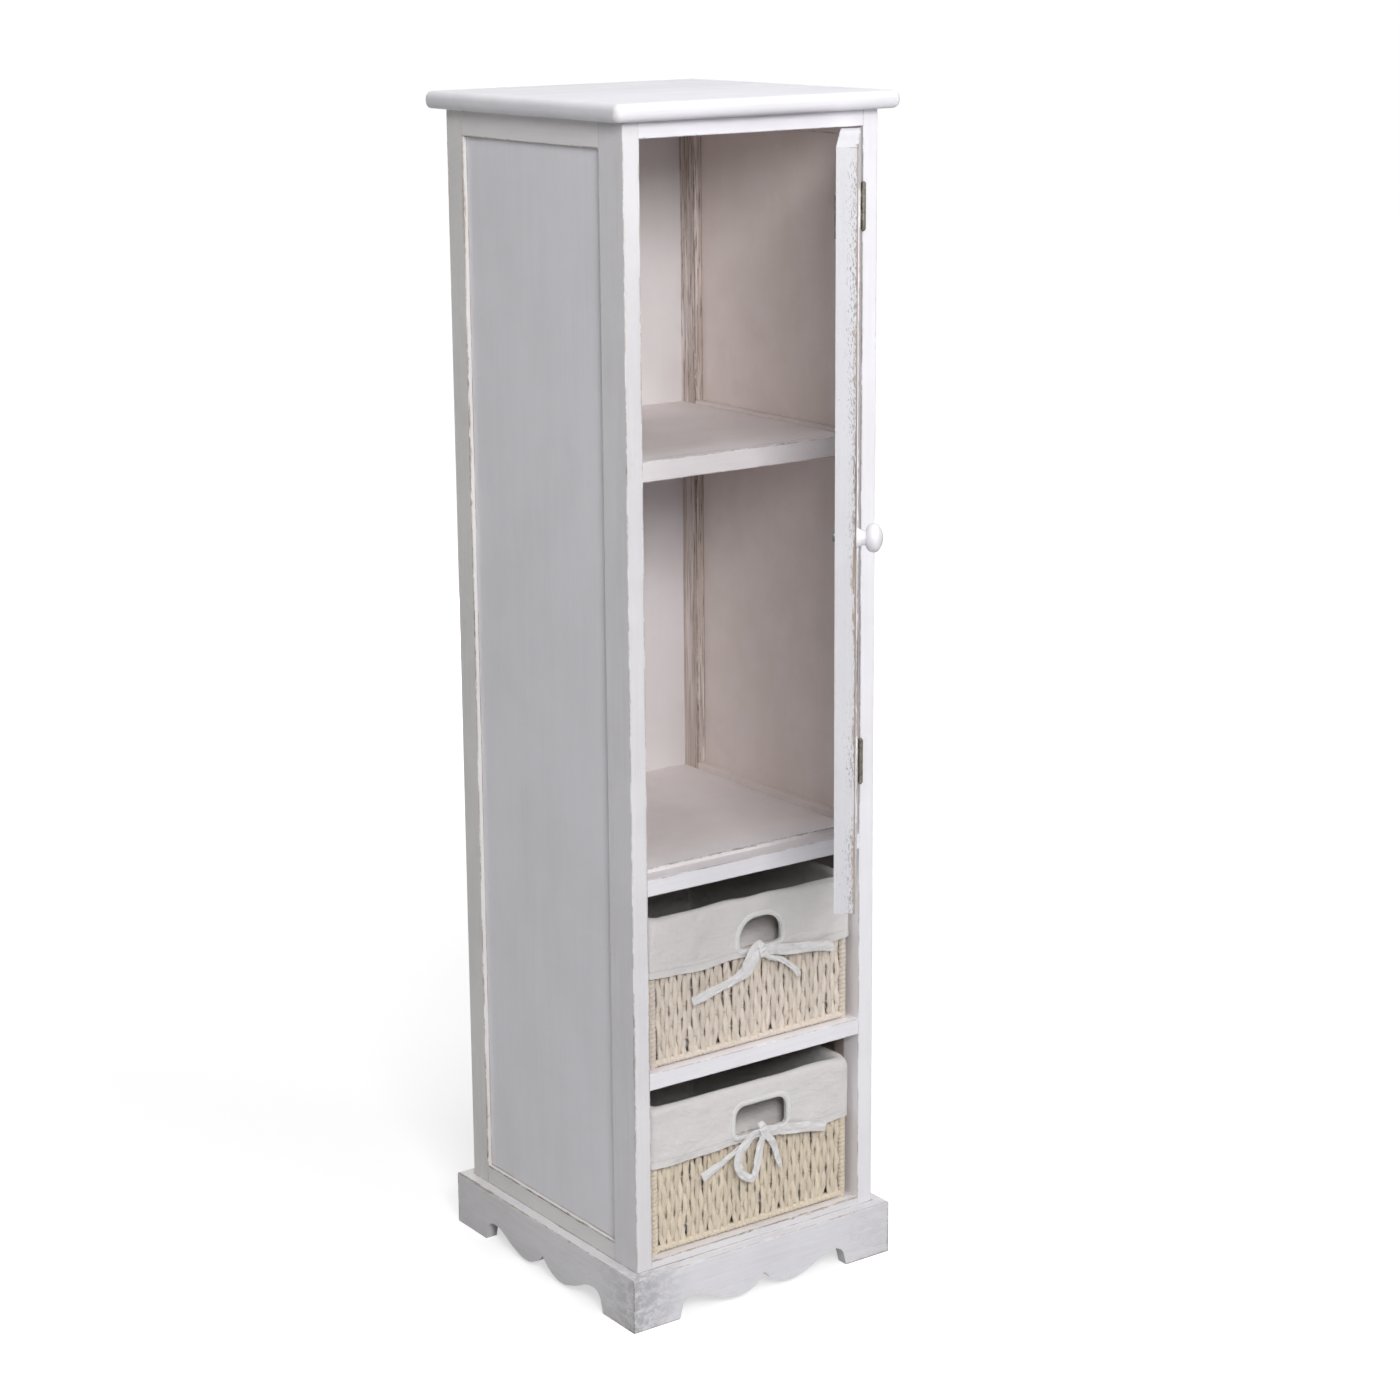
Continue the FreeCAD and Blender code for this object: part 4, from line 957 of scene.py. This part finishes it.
def raise_cloth(name, half_x, half_y):
    """The liner's base, with its rows raised round it, and the row that each vertex is in."""
    bpy.ops.mesh.primitive_grid_add(x_subdivisions=CELLS_X, y_subdivisions=CELLS_Y, size=1)
    liner = bpy.context.object
    liner.scale = (2 * (half_x - INWARD), 2 * (half_y - INWARD), 1)
    settle(liner, name, (0, 0, FLOOR))
    base_count = len(liner.data.vertices)
    with editing(liner):
        select_parts(liner, "edges", lambda edge: edge.is_boundary)
        for last, row in zip(ROWS, ROWS[1:]):
            bpy.ops.mesh.extrude_region_move(
                TRANSFORM_OT_translate={"value": (0, 0, row[1] - last[1])})
            bpy.ops.transform.resize(value=((half_x - row[0]) / (half_x - last[0]),
                                            (half_y - row[0]) / (half_y - last[0]), 1),
                                     center_override=(0, 0, row[1]))
        turn_faces_out()
    ring = 2 * (CELLS_X + CELLS_Y)
    levels = [max(0, (vertex.index - base_count) // ring + 1) for vertex in liner.data.vertices]
    # UV: how far round, and how far along the cloth from the edge of the base
    layer = liner.data.uv_layers.new(name="cloth")
    for loop in liner.data.loops:
        place = liner.data.vertices[loop.vertex_index].co
        layer.data[loop.index].uv = (math.atan2(place.x, -place.y), RUNS[levels[loop.vertex_index]])
    return liner, levels


def fold_cloth(liner, levels, name, half_x, half_y, seed):
    """Soft folds, and the waves of the liner's top and of its hem."""
    for vertex, level in zip(liner.data.vertices, levels):
        place = vertex.co.copy()
        out = side_of(place, half_x, half_y)
        front = -place.y / half_y > 0.97
        if level > BAG_ROWS:
            wave = ripple(place, 26, 0, seed) * 0.0022
            if front:
                wave = along_line(TOP_LINES[name], place.x) - RIM_TOP
            vertex.co.z += wave * held_in((place.z - 0.118) / 0.022)
        if level > len(ROWS) - 1 - SKIRT_ROWS:
            share = (SKIRT_TOP - place.z) / (SKIRT_TOP - HEM)
            drop = ripple(place, 33.8, 0, seed * 1.3) * 0.003
            swell = ripple(place, 34, 18, seed) * 0.0046 + ripple(place, 15, 0, seed * 2) * 0.0026
            if front:
                drop = along_line(HEM_LINES[name], place.x) - HEM
                swell *= calm(place, 0.045, 0.030)
            vertex.co.z += drop * share
            vertex.co += out * (max(swell, -0.0009) * (0.35 + 0.65 * share))
        if 0 < level <= BAG_ROWS:
            vertex.co -= out * max(0.0, ripple(place, 22, 20, seed) * 0.0016)
            if place.y < 0 and abs(place.y) / half_y > abs(place.x) / half_x:
                far = ((place.x - HOLE_X) / 0.055) ** 2 + ((place.z - 0.100) / 0.034) ** 2
                vertex.co.y += 0.024 * math.exp(-far)
    soften(liner)
    for vertex in liner.data.vertices:
        place = vertex.co
        outer = abs(place.x) > half_x + 0.0006 or abs(place.y) > half_y + 0.0006
        if outer and place.z < 0.138:
            fine = ripple(place, 90, 55, seed) * 0.0013
            fine *= calm(place, 0.040, 0.024) if place.y < -half_y else 1.0
            vertex.co += side_of(place, half_x, half_y) * fine
    modify(liner, "SOLIDIFY", thickness=0.0009, offset=0.0)


def cut_opening(liner, name, half_y, settings):
    """Cuts the handle opening through the skirt."""
    cutter = opening_outline(name, settings, 0.0, -half_y - 0.01)
    modify(cutter, "SOLIDIFY", thickness=0.0145)
    modify(liner, "BOOLEAN", object=cutter, operation="DIFFERENCE", solver="EXACT")
    bpy.data.objects.remove(cutter)


def bind_opening(name, centre, half_y, settings):
    """The tape sewn round the opening, and its sleeve, which goes through the woven wall."""
    band = settings.binding
    tape = opening_outline(name, settings, band, -half_y - 0.0022)
    with editing(tape):
        for share, depth in ((0.22, 0.0011), (0.50, 0.0001), (0.24, -0.0006)):
            bpy.ops.mesh.inset(thickness=band * share, depth=depth)
        bpy.ops.mesh.extrude_region_move(TRANSFORM_OT_translate={"value": (0, 0.0055, 0)})
        bpy.ops.mesh.delete(type="FACE")
    modify(tape, "SOLIDIFY", thickness=0.0006)
    soften(tape)
    return settle(tape, name + "_basket_opening_binding", centre)


def sew_liner(name, settings):
    """The liner of one basket: base, bag, the fold over the rim and the skirt outside."""
    prefix, body = name + "_basket_", "basket_" + name
    centre, half_x, half_y, _ = basket_box(name)
    liner, levels = raise_cloth(prefix + "liner_cloth", half_x, half_y)
    fold_cloth(liner, levels, name, half_x, half_y, 3.7 if name == "upper" else 11.3)
    cut_opening(liner, name, half_y, settings)
    settle(liner, prefix + "liner_cloth", centre)
    tape = bind_opening(name, centre, half_y, settings)
    finish_piece(liner, 50, body, cotton_material(prefix + "liner_cotton", settings.cotton,
                                                  settings, True), "liner_cotton", prefix + "liner")
    finish_piece(tape, 50, body, cotton_material(prefix + "binding_cotton", settings.tape,
                                                 settings), "liner_cotton")


def cotton_material(name, colour, settings, sewn=False):
    """Unbleached cotton: woven threads, slow stains, and a line of stitches above the hem."""
    shade = settings.cotton_shade
    material, surface, place = start_material(name, 0.88)
    woven = cotton_weave(Vector=place, Thread=settings.thread)
    tone = mixed(colour, shade, woven["Slub"], 0.22)
    tone = mixed(tone, shade, clouds(place, 0.055), 0.30)
    creases = streaks(place, (26, 26, 44), 4, 0.55, 0.25)
    height = plus(woven["Height"], times(creases, 34.0))
    if sewn:
        cloth = add_node(place.id_data, "UVMap", options={"uv_map": "cloth"}).outputs[0]
        away = maths("ABSOLUTE", minus(split(cloth)[1], STITCHES))
        stitch = ramp(away, 0.0003, 0.0012, 1.0, 0.0)
        tone = mixed(tone, shaded(shade, 0.72), stitch, 0.2)
        height = minus(height, times(stitch, 1.2))
    coat(surface, tone, height, 0.00014, Sheen_Weight=0.25, Sheen_Roughness=0.6)
    return material


# Ribbons: folded tape laid in front of the liner and tied

# Each tape: (x, z, width, how far forward) from the knot's middle, in millimetres
TAPES = {
    "upper": (
        ((1, 5, 10, 2.0), (-6, 3, 15, 3.0), (-12, -7, 17, 3.4), (-19, -17, 15, 2.6),
         (-30, -22, 9, 1.6), (-45, -26, 8.5, 1.6), (-62, -30, 10, 1.4), (-79, -34, 10, 1.0)),
        ((-3, 2, 9, 1.2), (12, -1, 10.5, 2.2), (30, -5, 11, 1.6), (52, -8, 10.5, 1.4),
         (74, -11, 10, 1.2), (86, -15, 9, 1.0)),
        ((1, -3, 5, 1.6), (11, -9, 5, 2.4), (24, -14, 5.5, 1.8), (36, -23, 5.5, 1.4),
         (46, -34, 6.5, 1.0)),
    ),
    "lower": (
        ((-3, -2, 6, 0.8), (-20, -10, 6, 1.2), (-36, -18, 6.5, 1.4), (-52, -25, 8.5, 1.6),
         (-69, -32, 10, 1.0)),
        ((-2, 0, 9, 1.4), (14, -4, 10.5, 2.4), (32, -7, 11, 1.8), (55, -11, 11, 1.4),
         (78, -16, 10.5, 1.0)),
        ((0, -2, 7, 2.2), (10, -12, 7.5, 3.0), (16, -25, 7, 2.6), (20, -37, 6, 2.0),
         (23, -44, 4, 1.6)),
        ((2, -2, 7, 2.6), (-12, -3, 9, 3.8), (-25, -13, 10, 4.4), (-30, -26, 9.5, 4.2),
         (-25, -38, 8.5, 3.8), (-13, -46, 7.5, 3.4), (-8, -40, 8, 3.6), (-5, -24, 9, 4.0),
         (-1, -8, 8, 4.2), (3, -2, 6, 4.2)),
    ),
}
# The tape round the knot, in the same way
KNOT_BAND = ((-1.5, 8.0, 6, 1.2), (-1.0, 5.0, 8, 4.4), (0, 0, 9, 5.6), (1.2, -5.0, 8, 4.2),
             (1.6, -7.5, 6, 1.2))
# Where the knots are, from the middle of the basket's foot, and how far they lean
KNOTS = {"upper": (0.0080, 0.0917, 0.35), "lower": (0.0080, 0.0975, 0.0)}
KNOT_LENGTH, TAPE_WIDTH = 0.030, 0.010


def through(points, share):
    """A point of the smooth line through the stations."""
    last = len(points) - 1
    turn = min(int(share * last), last - 1)
    t = share * last - turn
    a, b, c, d = [Vector(points[min(max(turn + step, 0), last)]) for step in (-1, 0, 1, 2)]
    return 0.5 * (2 * b + (c - a) * t + (2 * a - 5 * b + 4 * c - d) * t * t
                  + (3 * b - a - 3 * c + d) * t * t * t)


def lay_tape(stations, origin, seed):
    """A flat tape along its stations, creased down its middle and slightly crumpled."""
    bpy.ops.mesh.primitive_grid_add(x_subdivisions=6 * (len(stations) - 1), y_subdivisions=6, size=1)
    tape = bpy.context.object
    for vertex in tape.data.vertices:
        share, across = vertex.co.x + 0.5, vertex.co.y * 2
        here = through(stations, share)
        ahead = through(stations, min(1.0, share + 0.02))
        behind = through(stations, max(0.0, share - 0.02))
        run = (ahead - behind).to_2d().normalized()
        place = here.to_2d() + Vector((-run.y, run.x)) * (across * here[2] / 2)
        crumple = noise.noise(Vector((share * len(stations) * 1.9, across * 2.2, seed))) * 1.7
        crumple += noise.noise(Vector((share * len(stations) * 4.5, across * 3.1, seed + 9))) * 0.9
        forward = here[3] + crumple - 0.6 * abs(across) + 0.35
        vertex.co = Vector((place.x, -max(0.15, forward), place.y)) * 0.001 + origin
    modify(tape, "SOLIDIFY", thickness=0.0005)
    soften(tape, 2)
    return tape


def tie_knot(origin, lean, seed):
    """The knot: a small bundle with a band of tape round it."""
    bpy.ops.mesh.primitive_uv_sphere_add(segments=20, ring_count=12, radius=1)
    bundle = bpy.context.object
    bundle.scale = (0.0052, 0.0022, 0.0056)
    settle(bundle, "bundle")
    for vertex in bundle.data.vertices:
        vertex.co *= 1 + 0.16 * noise.noise(vertex.co * 420 + Vector((seed, 0, 0)))
    settle(bundle, "bundle", origin + Vector((0, -0.0026, 0)), (0, lean, 0))
    return [bundle, lay_tape(KNOT_BAND, origin, seed + 4)]


def tie_ribbon(name, settings):
    """The ribbon below the opening of one basket."""
    prefix = name + "_basket_"
    centre = basket_box(name)[0]
    knot_x, knot_z, lean = KNOTS[name]
    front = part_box(prefix + "ribbon")[1].y + 0.0002
    origin = Vector((centre.x + knot_x, front, centre.z + knot_z))
    tapes = [lay_tape(stations, origin, 5.0 * turn + 1.3)
             for turn, stations in enumerate(TAPES[name])]
    ribbon = join(tapes + tie_knot(origin, lean, 2.2), prefix + "tied_ribbon")
    finish_piece(ribbon, 60, "basket_" + name, cotton_material(
        prefix + "ribbon_cotton", settings.tape, settings), "ribbon_cotton", prefix + "ribbon")
    length, area = KNOT_LENGTH, KNOT_LENGTH * TAPE_WIDTH
    for stations in TAPES[name]:
        for start, end in zip(stations, stations[1:]):
            step = math.dist(start[:2] + start[3:], end[:2] + end[3:]) * 0.001
            length += step
            area += step * (start[2] + end[2]) / 2 * 0.001


# Stage

# Where the camera stands, which way it looks (yaw from +Y and downward pitch, in radians), how
# far it is rolled, and its lens
CAMERA_PLACE = Vector((-1.58091, -2.24496, 1.26085))
CAMERA_YAW, CAMERA_PITCH, CAMERA_ROLL = 0.60514, 0.2334, -0.01231
FOCAL_PIXELS, PICTURE_SIDE = 2983.217, 1400.0
PICTURE_CENTRE = (640.0, 640.0)
# Lamps: heading round the cabinet from its front and rise, in degrees, and width
LAMPS = {"main": (-25, 26, 0.9), "side": (-75, 45, 1.6), "fill": (22, 37, 1.6),
         "top": (0, 88, 1.6), "back": (160, 1, 1.0)}
# The middle of the cabinet, roughly, and how far from it the lamps hang
LAMP_AIM, LAMP_DISTANCE = Vector((0, 0, 0.6)), 3.0


def add_to_scene(name, data):
    made = bpy.data.objects.new(name, data)
    bpy.context.scene.collection.objects.link(made)
    return made


def place_camera():
    """The camera of the photograph, worked out from the cabinet's own lines."""
    lens = bpy.data.cameras.new("camera")
    camera = add_to_scene("camera", lens)
    camera.matrix_world = (Matrix.Translation(CAMERA_PLACE)
                           @ Matrix.Rotation(-CAMERA_YAW, 4, "Z")
                           @ Matrix.Rotation(math.pi / 2 - CAMERA_PITCH, 4, "X")
                           @ Matrix.Rotation(CAMERA_ROLL, 4, "Z"))
    lens.sensor_width = 36.0
    lens.lens = FOCAL_PIXELS / PICTURE_SIDE * lens.sensor_width
    lens.shift_x = (PICTURE_SIDE / 2 - PICTURE_CENTRE[0]) / PICTURE_SIDE
    lens.shift_y = (PICTURE_CENTRE[1] - PICTURE_SIDE / 2) / PICTURE_SIDE
    lens.clip_start, lens.clip_end = 0.05, 100.0
    bpy.context.scene.camera = camera


def area_lamp(name, heading, rise, size, power):
    """A soft lamp that looks at the cabinet, at a heading round it and a rise, in degrees."""
    light = bpy.data.lights.new(name, "AREA")
    light.size, light.energy = size, power
    lamp = add_to_scene(name, light)
    heading, rise = math.radians(heading), math.radians(rise)
    away = Vector((math.sin(heading) * math.cos(rise), -math.cos(heading) * math.cos(rise),
                   math.sin(rise)))
    lamp.location = LAMP_AIM + LAMP_DISTANCE * away
    lamp.rotation_euler = (LAMP_AIM - lamp.location).to_track_quat("-Z", "Y").to_euler()


def white_where_seen(tree, strength):
    """How bright a background is: white for the camera, in gloss and through glass."""
    path = add_node(tree, "LightPath").outputs
    seen = maths("MAXIMUM", path["Is Camera Ray"], path["Is Glossy Ray"])
    seen = maths("MAXIMUM", seen, path["Is Transmission Ray"])
    return plus(times(seen, 1.0 - strength), strength)


def lay_floor(settings):
    """A wide pale floor that keeps the cabinet's soft shadow."""
    bpy.ops.mesh.primitive_grid_add(x_subdivisions=4, y_subdivisions=4, size=60)
    floor = settle(bpy.context.object, "studio_floor")
    material, tree = empty_material("studio_floor")
    away = vector_maths("LENGTH", add_node(tree, "TexCoord").outputs["Object"])
    seen = add_node(tree, "LightPath").outputs["Is Camera Ray"]
    white = times(seen, ramp(away, 0.5, 2.6, settings.floor_glow, 1.0))
    cloth = add_node(tree, "BsdfDiffuse", (0.62, 0.62, 0.62)).outputs[0]
    glow = add_node(tree, "Emission", Strength=white).outputs[0]
    both = add_node(tree, "AddShader", cloth, glow).outputs[0]
    add_node(tree, "OutputMaterial", both)
    dress(floor, material)


# Settings, operators and panel


def colour_setting(name, description, *default):
    return FloatVectorProperty(name=name, description=description, subtype="COLOR", size=3,
                               default=default)


def length_setting(name, description, default):
    return FloatProperty(name=name, description=description, subtype="DISTANCE", unit="LENGTH",
                         default=default)


def power_setting(name, description, default):
    return FloatProperty(name=name, description=description, subtype="POWER", unit="POWER", min=0,
                         default=default)


class CabinetPaint(bpy.types.PropertyGroup):
    """Colours and wear of the woodwork."""
    paint: colour_setting("Paint", "Cool white of the outside", 0.85, 0.84, 0.88)
    warm_paint: colour_setting("Warm paint", "Warmer white of some boards", 0.84, 0.815, 0.79)
    inner_paint: colour_setting("Inner paint", "Thin wash inside the case", 0.88, 0.80, 0.775)
    thin_paint: colour_setting("Thin paint", "Shade of the brush marks", 0.80, 0.79, 0.79)
    cloud: colour_setting("Cloud", "Shade of the cloudy places", 0.84, 0.83, 0.83)
    pore: colour_setting("Pores", "Open grain under the paint", 0.40, 0.37, 0.36)
    bare_wood: colour_setting("Bare wood", "Wood where paint is rubbed off", 0.38, 0.29, 0.23)
    old_wood: colour_setting("Old wood", "Dark grain of the bare wood", 0.13, 0.095, 0.075)
    blotch: colour_setting("Blotches", "Tan blotches of the inner wash", 0.84, 0.80, 0.73)
    # Raw wood in the bays, dark enough to paint their shade
    raw_wood: colour_setting("Raw wood", "Bare wood round the baskets", 0.29, 0.235, 0.20)
    dirt: colour_setting("Dirt", "Grey dirt on the plinth's ends", 0.34, 0.34, 0.36)
    wear: FloatProperty(name="Wear", description="How far edges are rubbed through",
                        subtype="FACTOR", min=0, max=2, default=1.0)


class CabinetBaskets(bpy.types.PropertyGroup):
    """Rope, cotton and sizes of the baskets."""
    rope_cream: colour_setting("Cream rope", "Rope of the upper basket", 0.86, 0.765, 0.68)
    rope_straw: colour_setting("Straw rope", "Rope of the lower basket", 0.86, 0.755, 0.61)
    # Colour of the rope's painted shade, down between strands and on stakes and rod cores
    rope_shade: colour_setting("Rope shade", "Rope down between strands", 0.34, 0.24, 0.165)
    strand_upper: length_setting("Upper strand", "Spacing of the upper strands", 0.0051)
    strand_lower: length_setting("Lower strand", "Spacing of the lower strands", 0.0048)
    opening_upper: length_setting("Upper opening", "Width of the upper opening", 0.048)
    opening_lower: length_setting("Lower opening", "Width of the lower opening", 0.060)
    binding: length_setting("Binding", "Width of the tape round the openings", 0.0055)
    thread: length_setting("Thread", "Spacing of the cotton's threads", 0.0007)
    cotton: colour_setting("Cotton", "Cotton of the liners", 0.70, 0.675, 0.67)
    cotton_shade: colour_setting("Cotton shade", "Thick threads and stains", 0.60, 0.575, 0.57)
    tape: colour_setting("Tape", "Ribbon and binding", 0.74, 0.73, 0.73)


class CabinetStage(bpy.types.PropertyGroup):
    """Light and floor."""
    main: power_setting("Main lamp", "Power of the lamp on the left in front", 52.0)
    side: power_setting("Side lamp", "Power of the lamp on the left", 13.0)
    fill: power_setting("Fill lamp", "Power of the lamp on the right in front", 33.0)
    top: power_setting("Top lamp", "Power of the lamp above", 30.0)
    back: power_setting("Back lamp", "Power of the lamp behind", 26.0)
    around: FloatProperty(name="Room light", description="Light from all round",
                          min=0, max=1, default=0.03)
    floor_glow: FloatProperty(name="Floor white", description="What makes the floor show white",
                              min=0, max=1, default=0.6)


class CABINET_OT_paint_woodwork(bpy.types.Operator):
    """Paint every board of the case, the door and the plinth"""
    bl_idname = "cabinet.paint_woodwork"
    bl_label = "Paint woodwork"

    def execute(self, context):
        for node, piece in frame["nodes"].items():
            kind = wood_kind(node)
            if kind:
                yaw = DOOR_TURN if node.startswith("door_") else 0.0
                dress(piece, painted_board(node, kind, context.scene.cabinet_paint, yaw))
        return {"FINISHED"}


class CABINET_OT_finish_fittings(bpy.types.Operator):
    """Give the knob, hinges, screws and catch their finishes"""
    bl_idname = "cabinet.finish_fittings"
    bl_label = "Finish fittings"

    def execute(self, context):
        pieces = frame["nodes"]
        dress(pieces["door_knob"], knob_material(context.scene.cabinet_paint))
        dress(pieces["catch_housing"], moulded_material("catch_plastic", (0.72, 0.71, 0.68), 0.45))
        for name, (colour, dark, roughness, size, nodes) in METALS.items():
            metal = metal_material(name, colour, dark, roughness, size)
            for node in nodes:
                dress(pieces[node], metal)
        return {"FINISHED"}


class BasketStep:
    """What the operators for one basket have in common."""
    which: EnumProperty(name="Basket", description="Which basket to work on",
                        items=[(name, name.title(), name + " basket") for name in BASKETS])


class CABINET_OT_weave_basket(BasketStep, bpy.types.Operator):
    """Wind the rods and weave the walls and base of a basket"""
    bl_idname = "cabinet.weave_basket"
    bl_label = "Weave basket"

    def execute(self, context):
        draw = random.Random(self.which)
        for step in (wind_frame, weave_sides, weave_base):
            step(self.which, draw, context.scene.cabinet_baskets)
        return {"FINISHED"}


class CABINET_OT_sew_liner(BasketStep, bpy.types.Operator):
    """Sew the cotton liner of a basket, with its bound opening"""
    bl_idname = "cabinet.sew_liner"
    bl_label = "Sew liner"

    def execute(self, context):
        sew_liner(self.which, context.scene.cabinet_baskets)
        return {"FINISHED"}


class CABINET_OT_tie_ribbon(BasketStep, bpy.types.Operator):
    """Tie the ribbon below the opening of a basket"""
    bl_idname = "cabinet.tie_ribbon"
    bl_label = "Tie ribbon"

    def execute(self, context):
        tie_ribbon(self.which, context.scene.cabinet_baskets)
        return {"FINISHED"}


class CABINET_OT_set_stage(bpy.types.Operator):
    """Set up the camera, lamps, floor and background"""
    bl_idname = "cabinet.set_stage"
    bl_label = "Set stage"

    def execute(self, context):
        settings = context.scene.cabinet_stage
        place_camera()
        for name, (heading, rise, size) in LAMPS.items():
            area_lamp(name + "_lamp", heading, rise, size, getattr(settings, name))
        world = bpy.data.worlds.new("studio")
        world.use_nodes = True
        ground = next(node for node in world.node_tree.nodes if node.type == "BACKGROUND")
        feed(ground, Color=(1, 1, 1), Strength=white_where_seen(world.node_tree, settings.around))
        context.scene.world = world
        lay_floor(settings)
        context.scene.view_settings.view_transform = "Standard"
        return {"FINISHED"}


class CABINET_PT_panel(bpy.types.Panel):
    """Lists the cabinet's settings and steps"""
    bl_idname = "CABINET_PT_panel"
    bl_label = "Bathroom cabinet"
    bl_space_type = "VIEW_3D"
    bl_region_type = "UI"
    bl_category = "Cabinet"

    def draw(self, context):
        for group in SETTINGS:
            settings = getattr(context.scene, group)
            box = self.layout.box()
            for key in settings.__annotations__:
                box.prop(settings, key)
        column = self.layout.column()
        for step in STEPS:
            column.operator(step.bl_idname)
        for step in BASKET_STEPS:
            for name in BASKETS:
                column.operator(step.bl_idname, text=step.bl_label + ", " + name).which = name


SETTINGS = {
    "cabinet_paint": CabinetPaint,
    "cabinet_baskets": CabinetBaskets,
    "cabinet_stage": CabinetStage,
}
STEPS = (CABINET_OT_paint_woodwork, CABINET_OT_finish_fittings, CABINET_OT_set_stage)
BASKET_STEPS = (CABINET_OT_weave_basket, CABINET_OT_sew_liner, CABINET_OT_tie_ribbon)
CLASSES = (*SETTINGS.values(), *STEPS, *BASKET_STEPS, CABINET_PT_panel)


def register():
    for item in CLASSES:
        bpy.utils.register_class(item)
    for name, item in SETTINGS.items():
        setattr(bpy.types.Scene, name, PointerProperty(type=item))


def unregister():
    for name in SETTINGS:
        delattr(bpy.types.Scene, name)
    for item in reversed(CLASSES):
        bpy.utils.unregister_class(item)


def main():
    register()
    bpy.ops.cabinet.paint_woodwork()
    bpy.ops.cabinet.finish_fittings()
    for name in BASKETS:
        bpy.ops.cabinet.weave_basket(which=name)
        bpy.ops.cabinet.sew_liner(which=name)
        bpy.ops.cabinet.tie_ribbon(which=name)
    bpy.ops.cabinet.set_stage()
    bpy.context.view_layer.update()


if __name__ == "__main__":
    main()
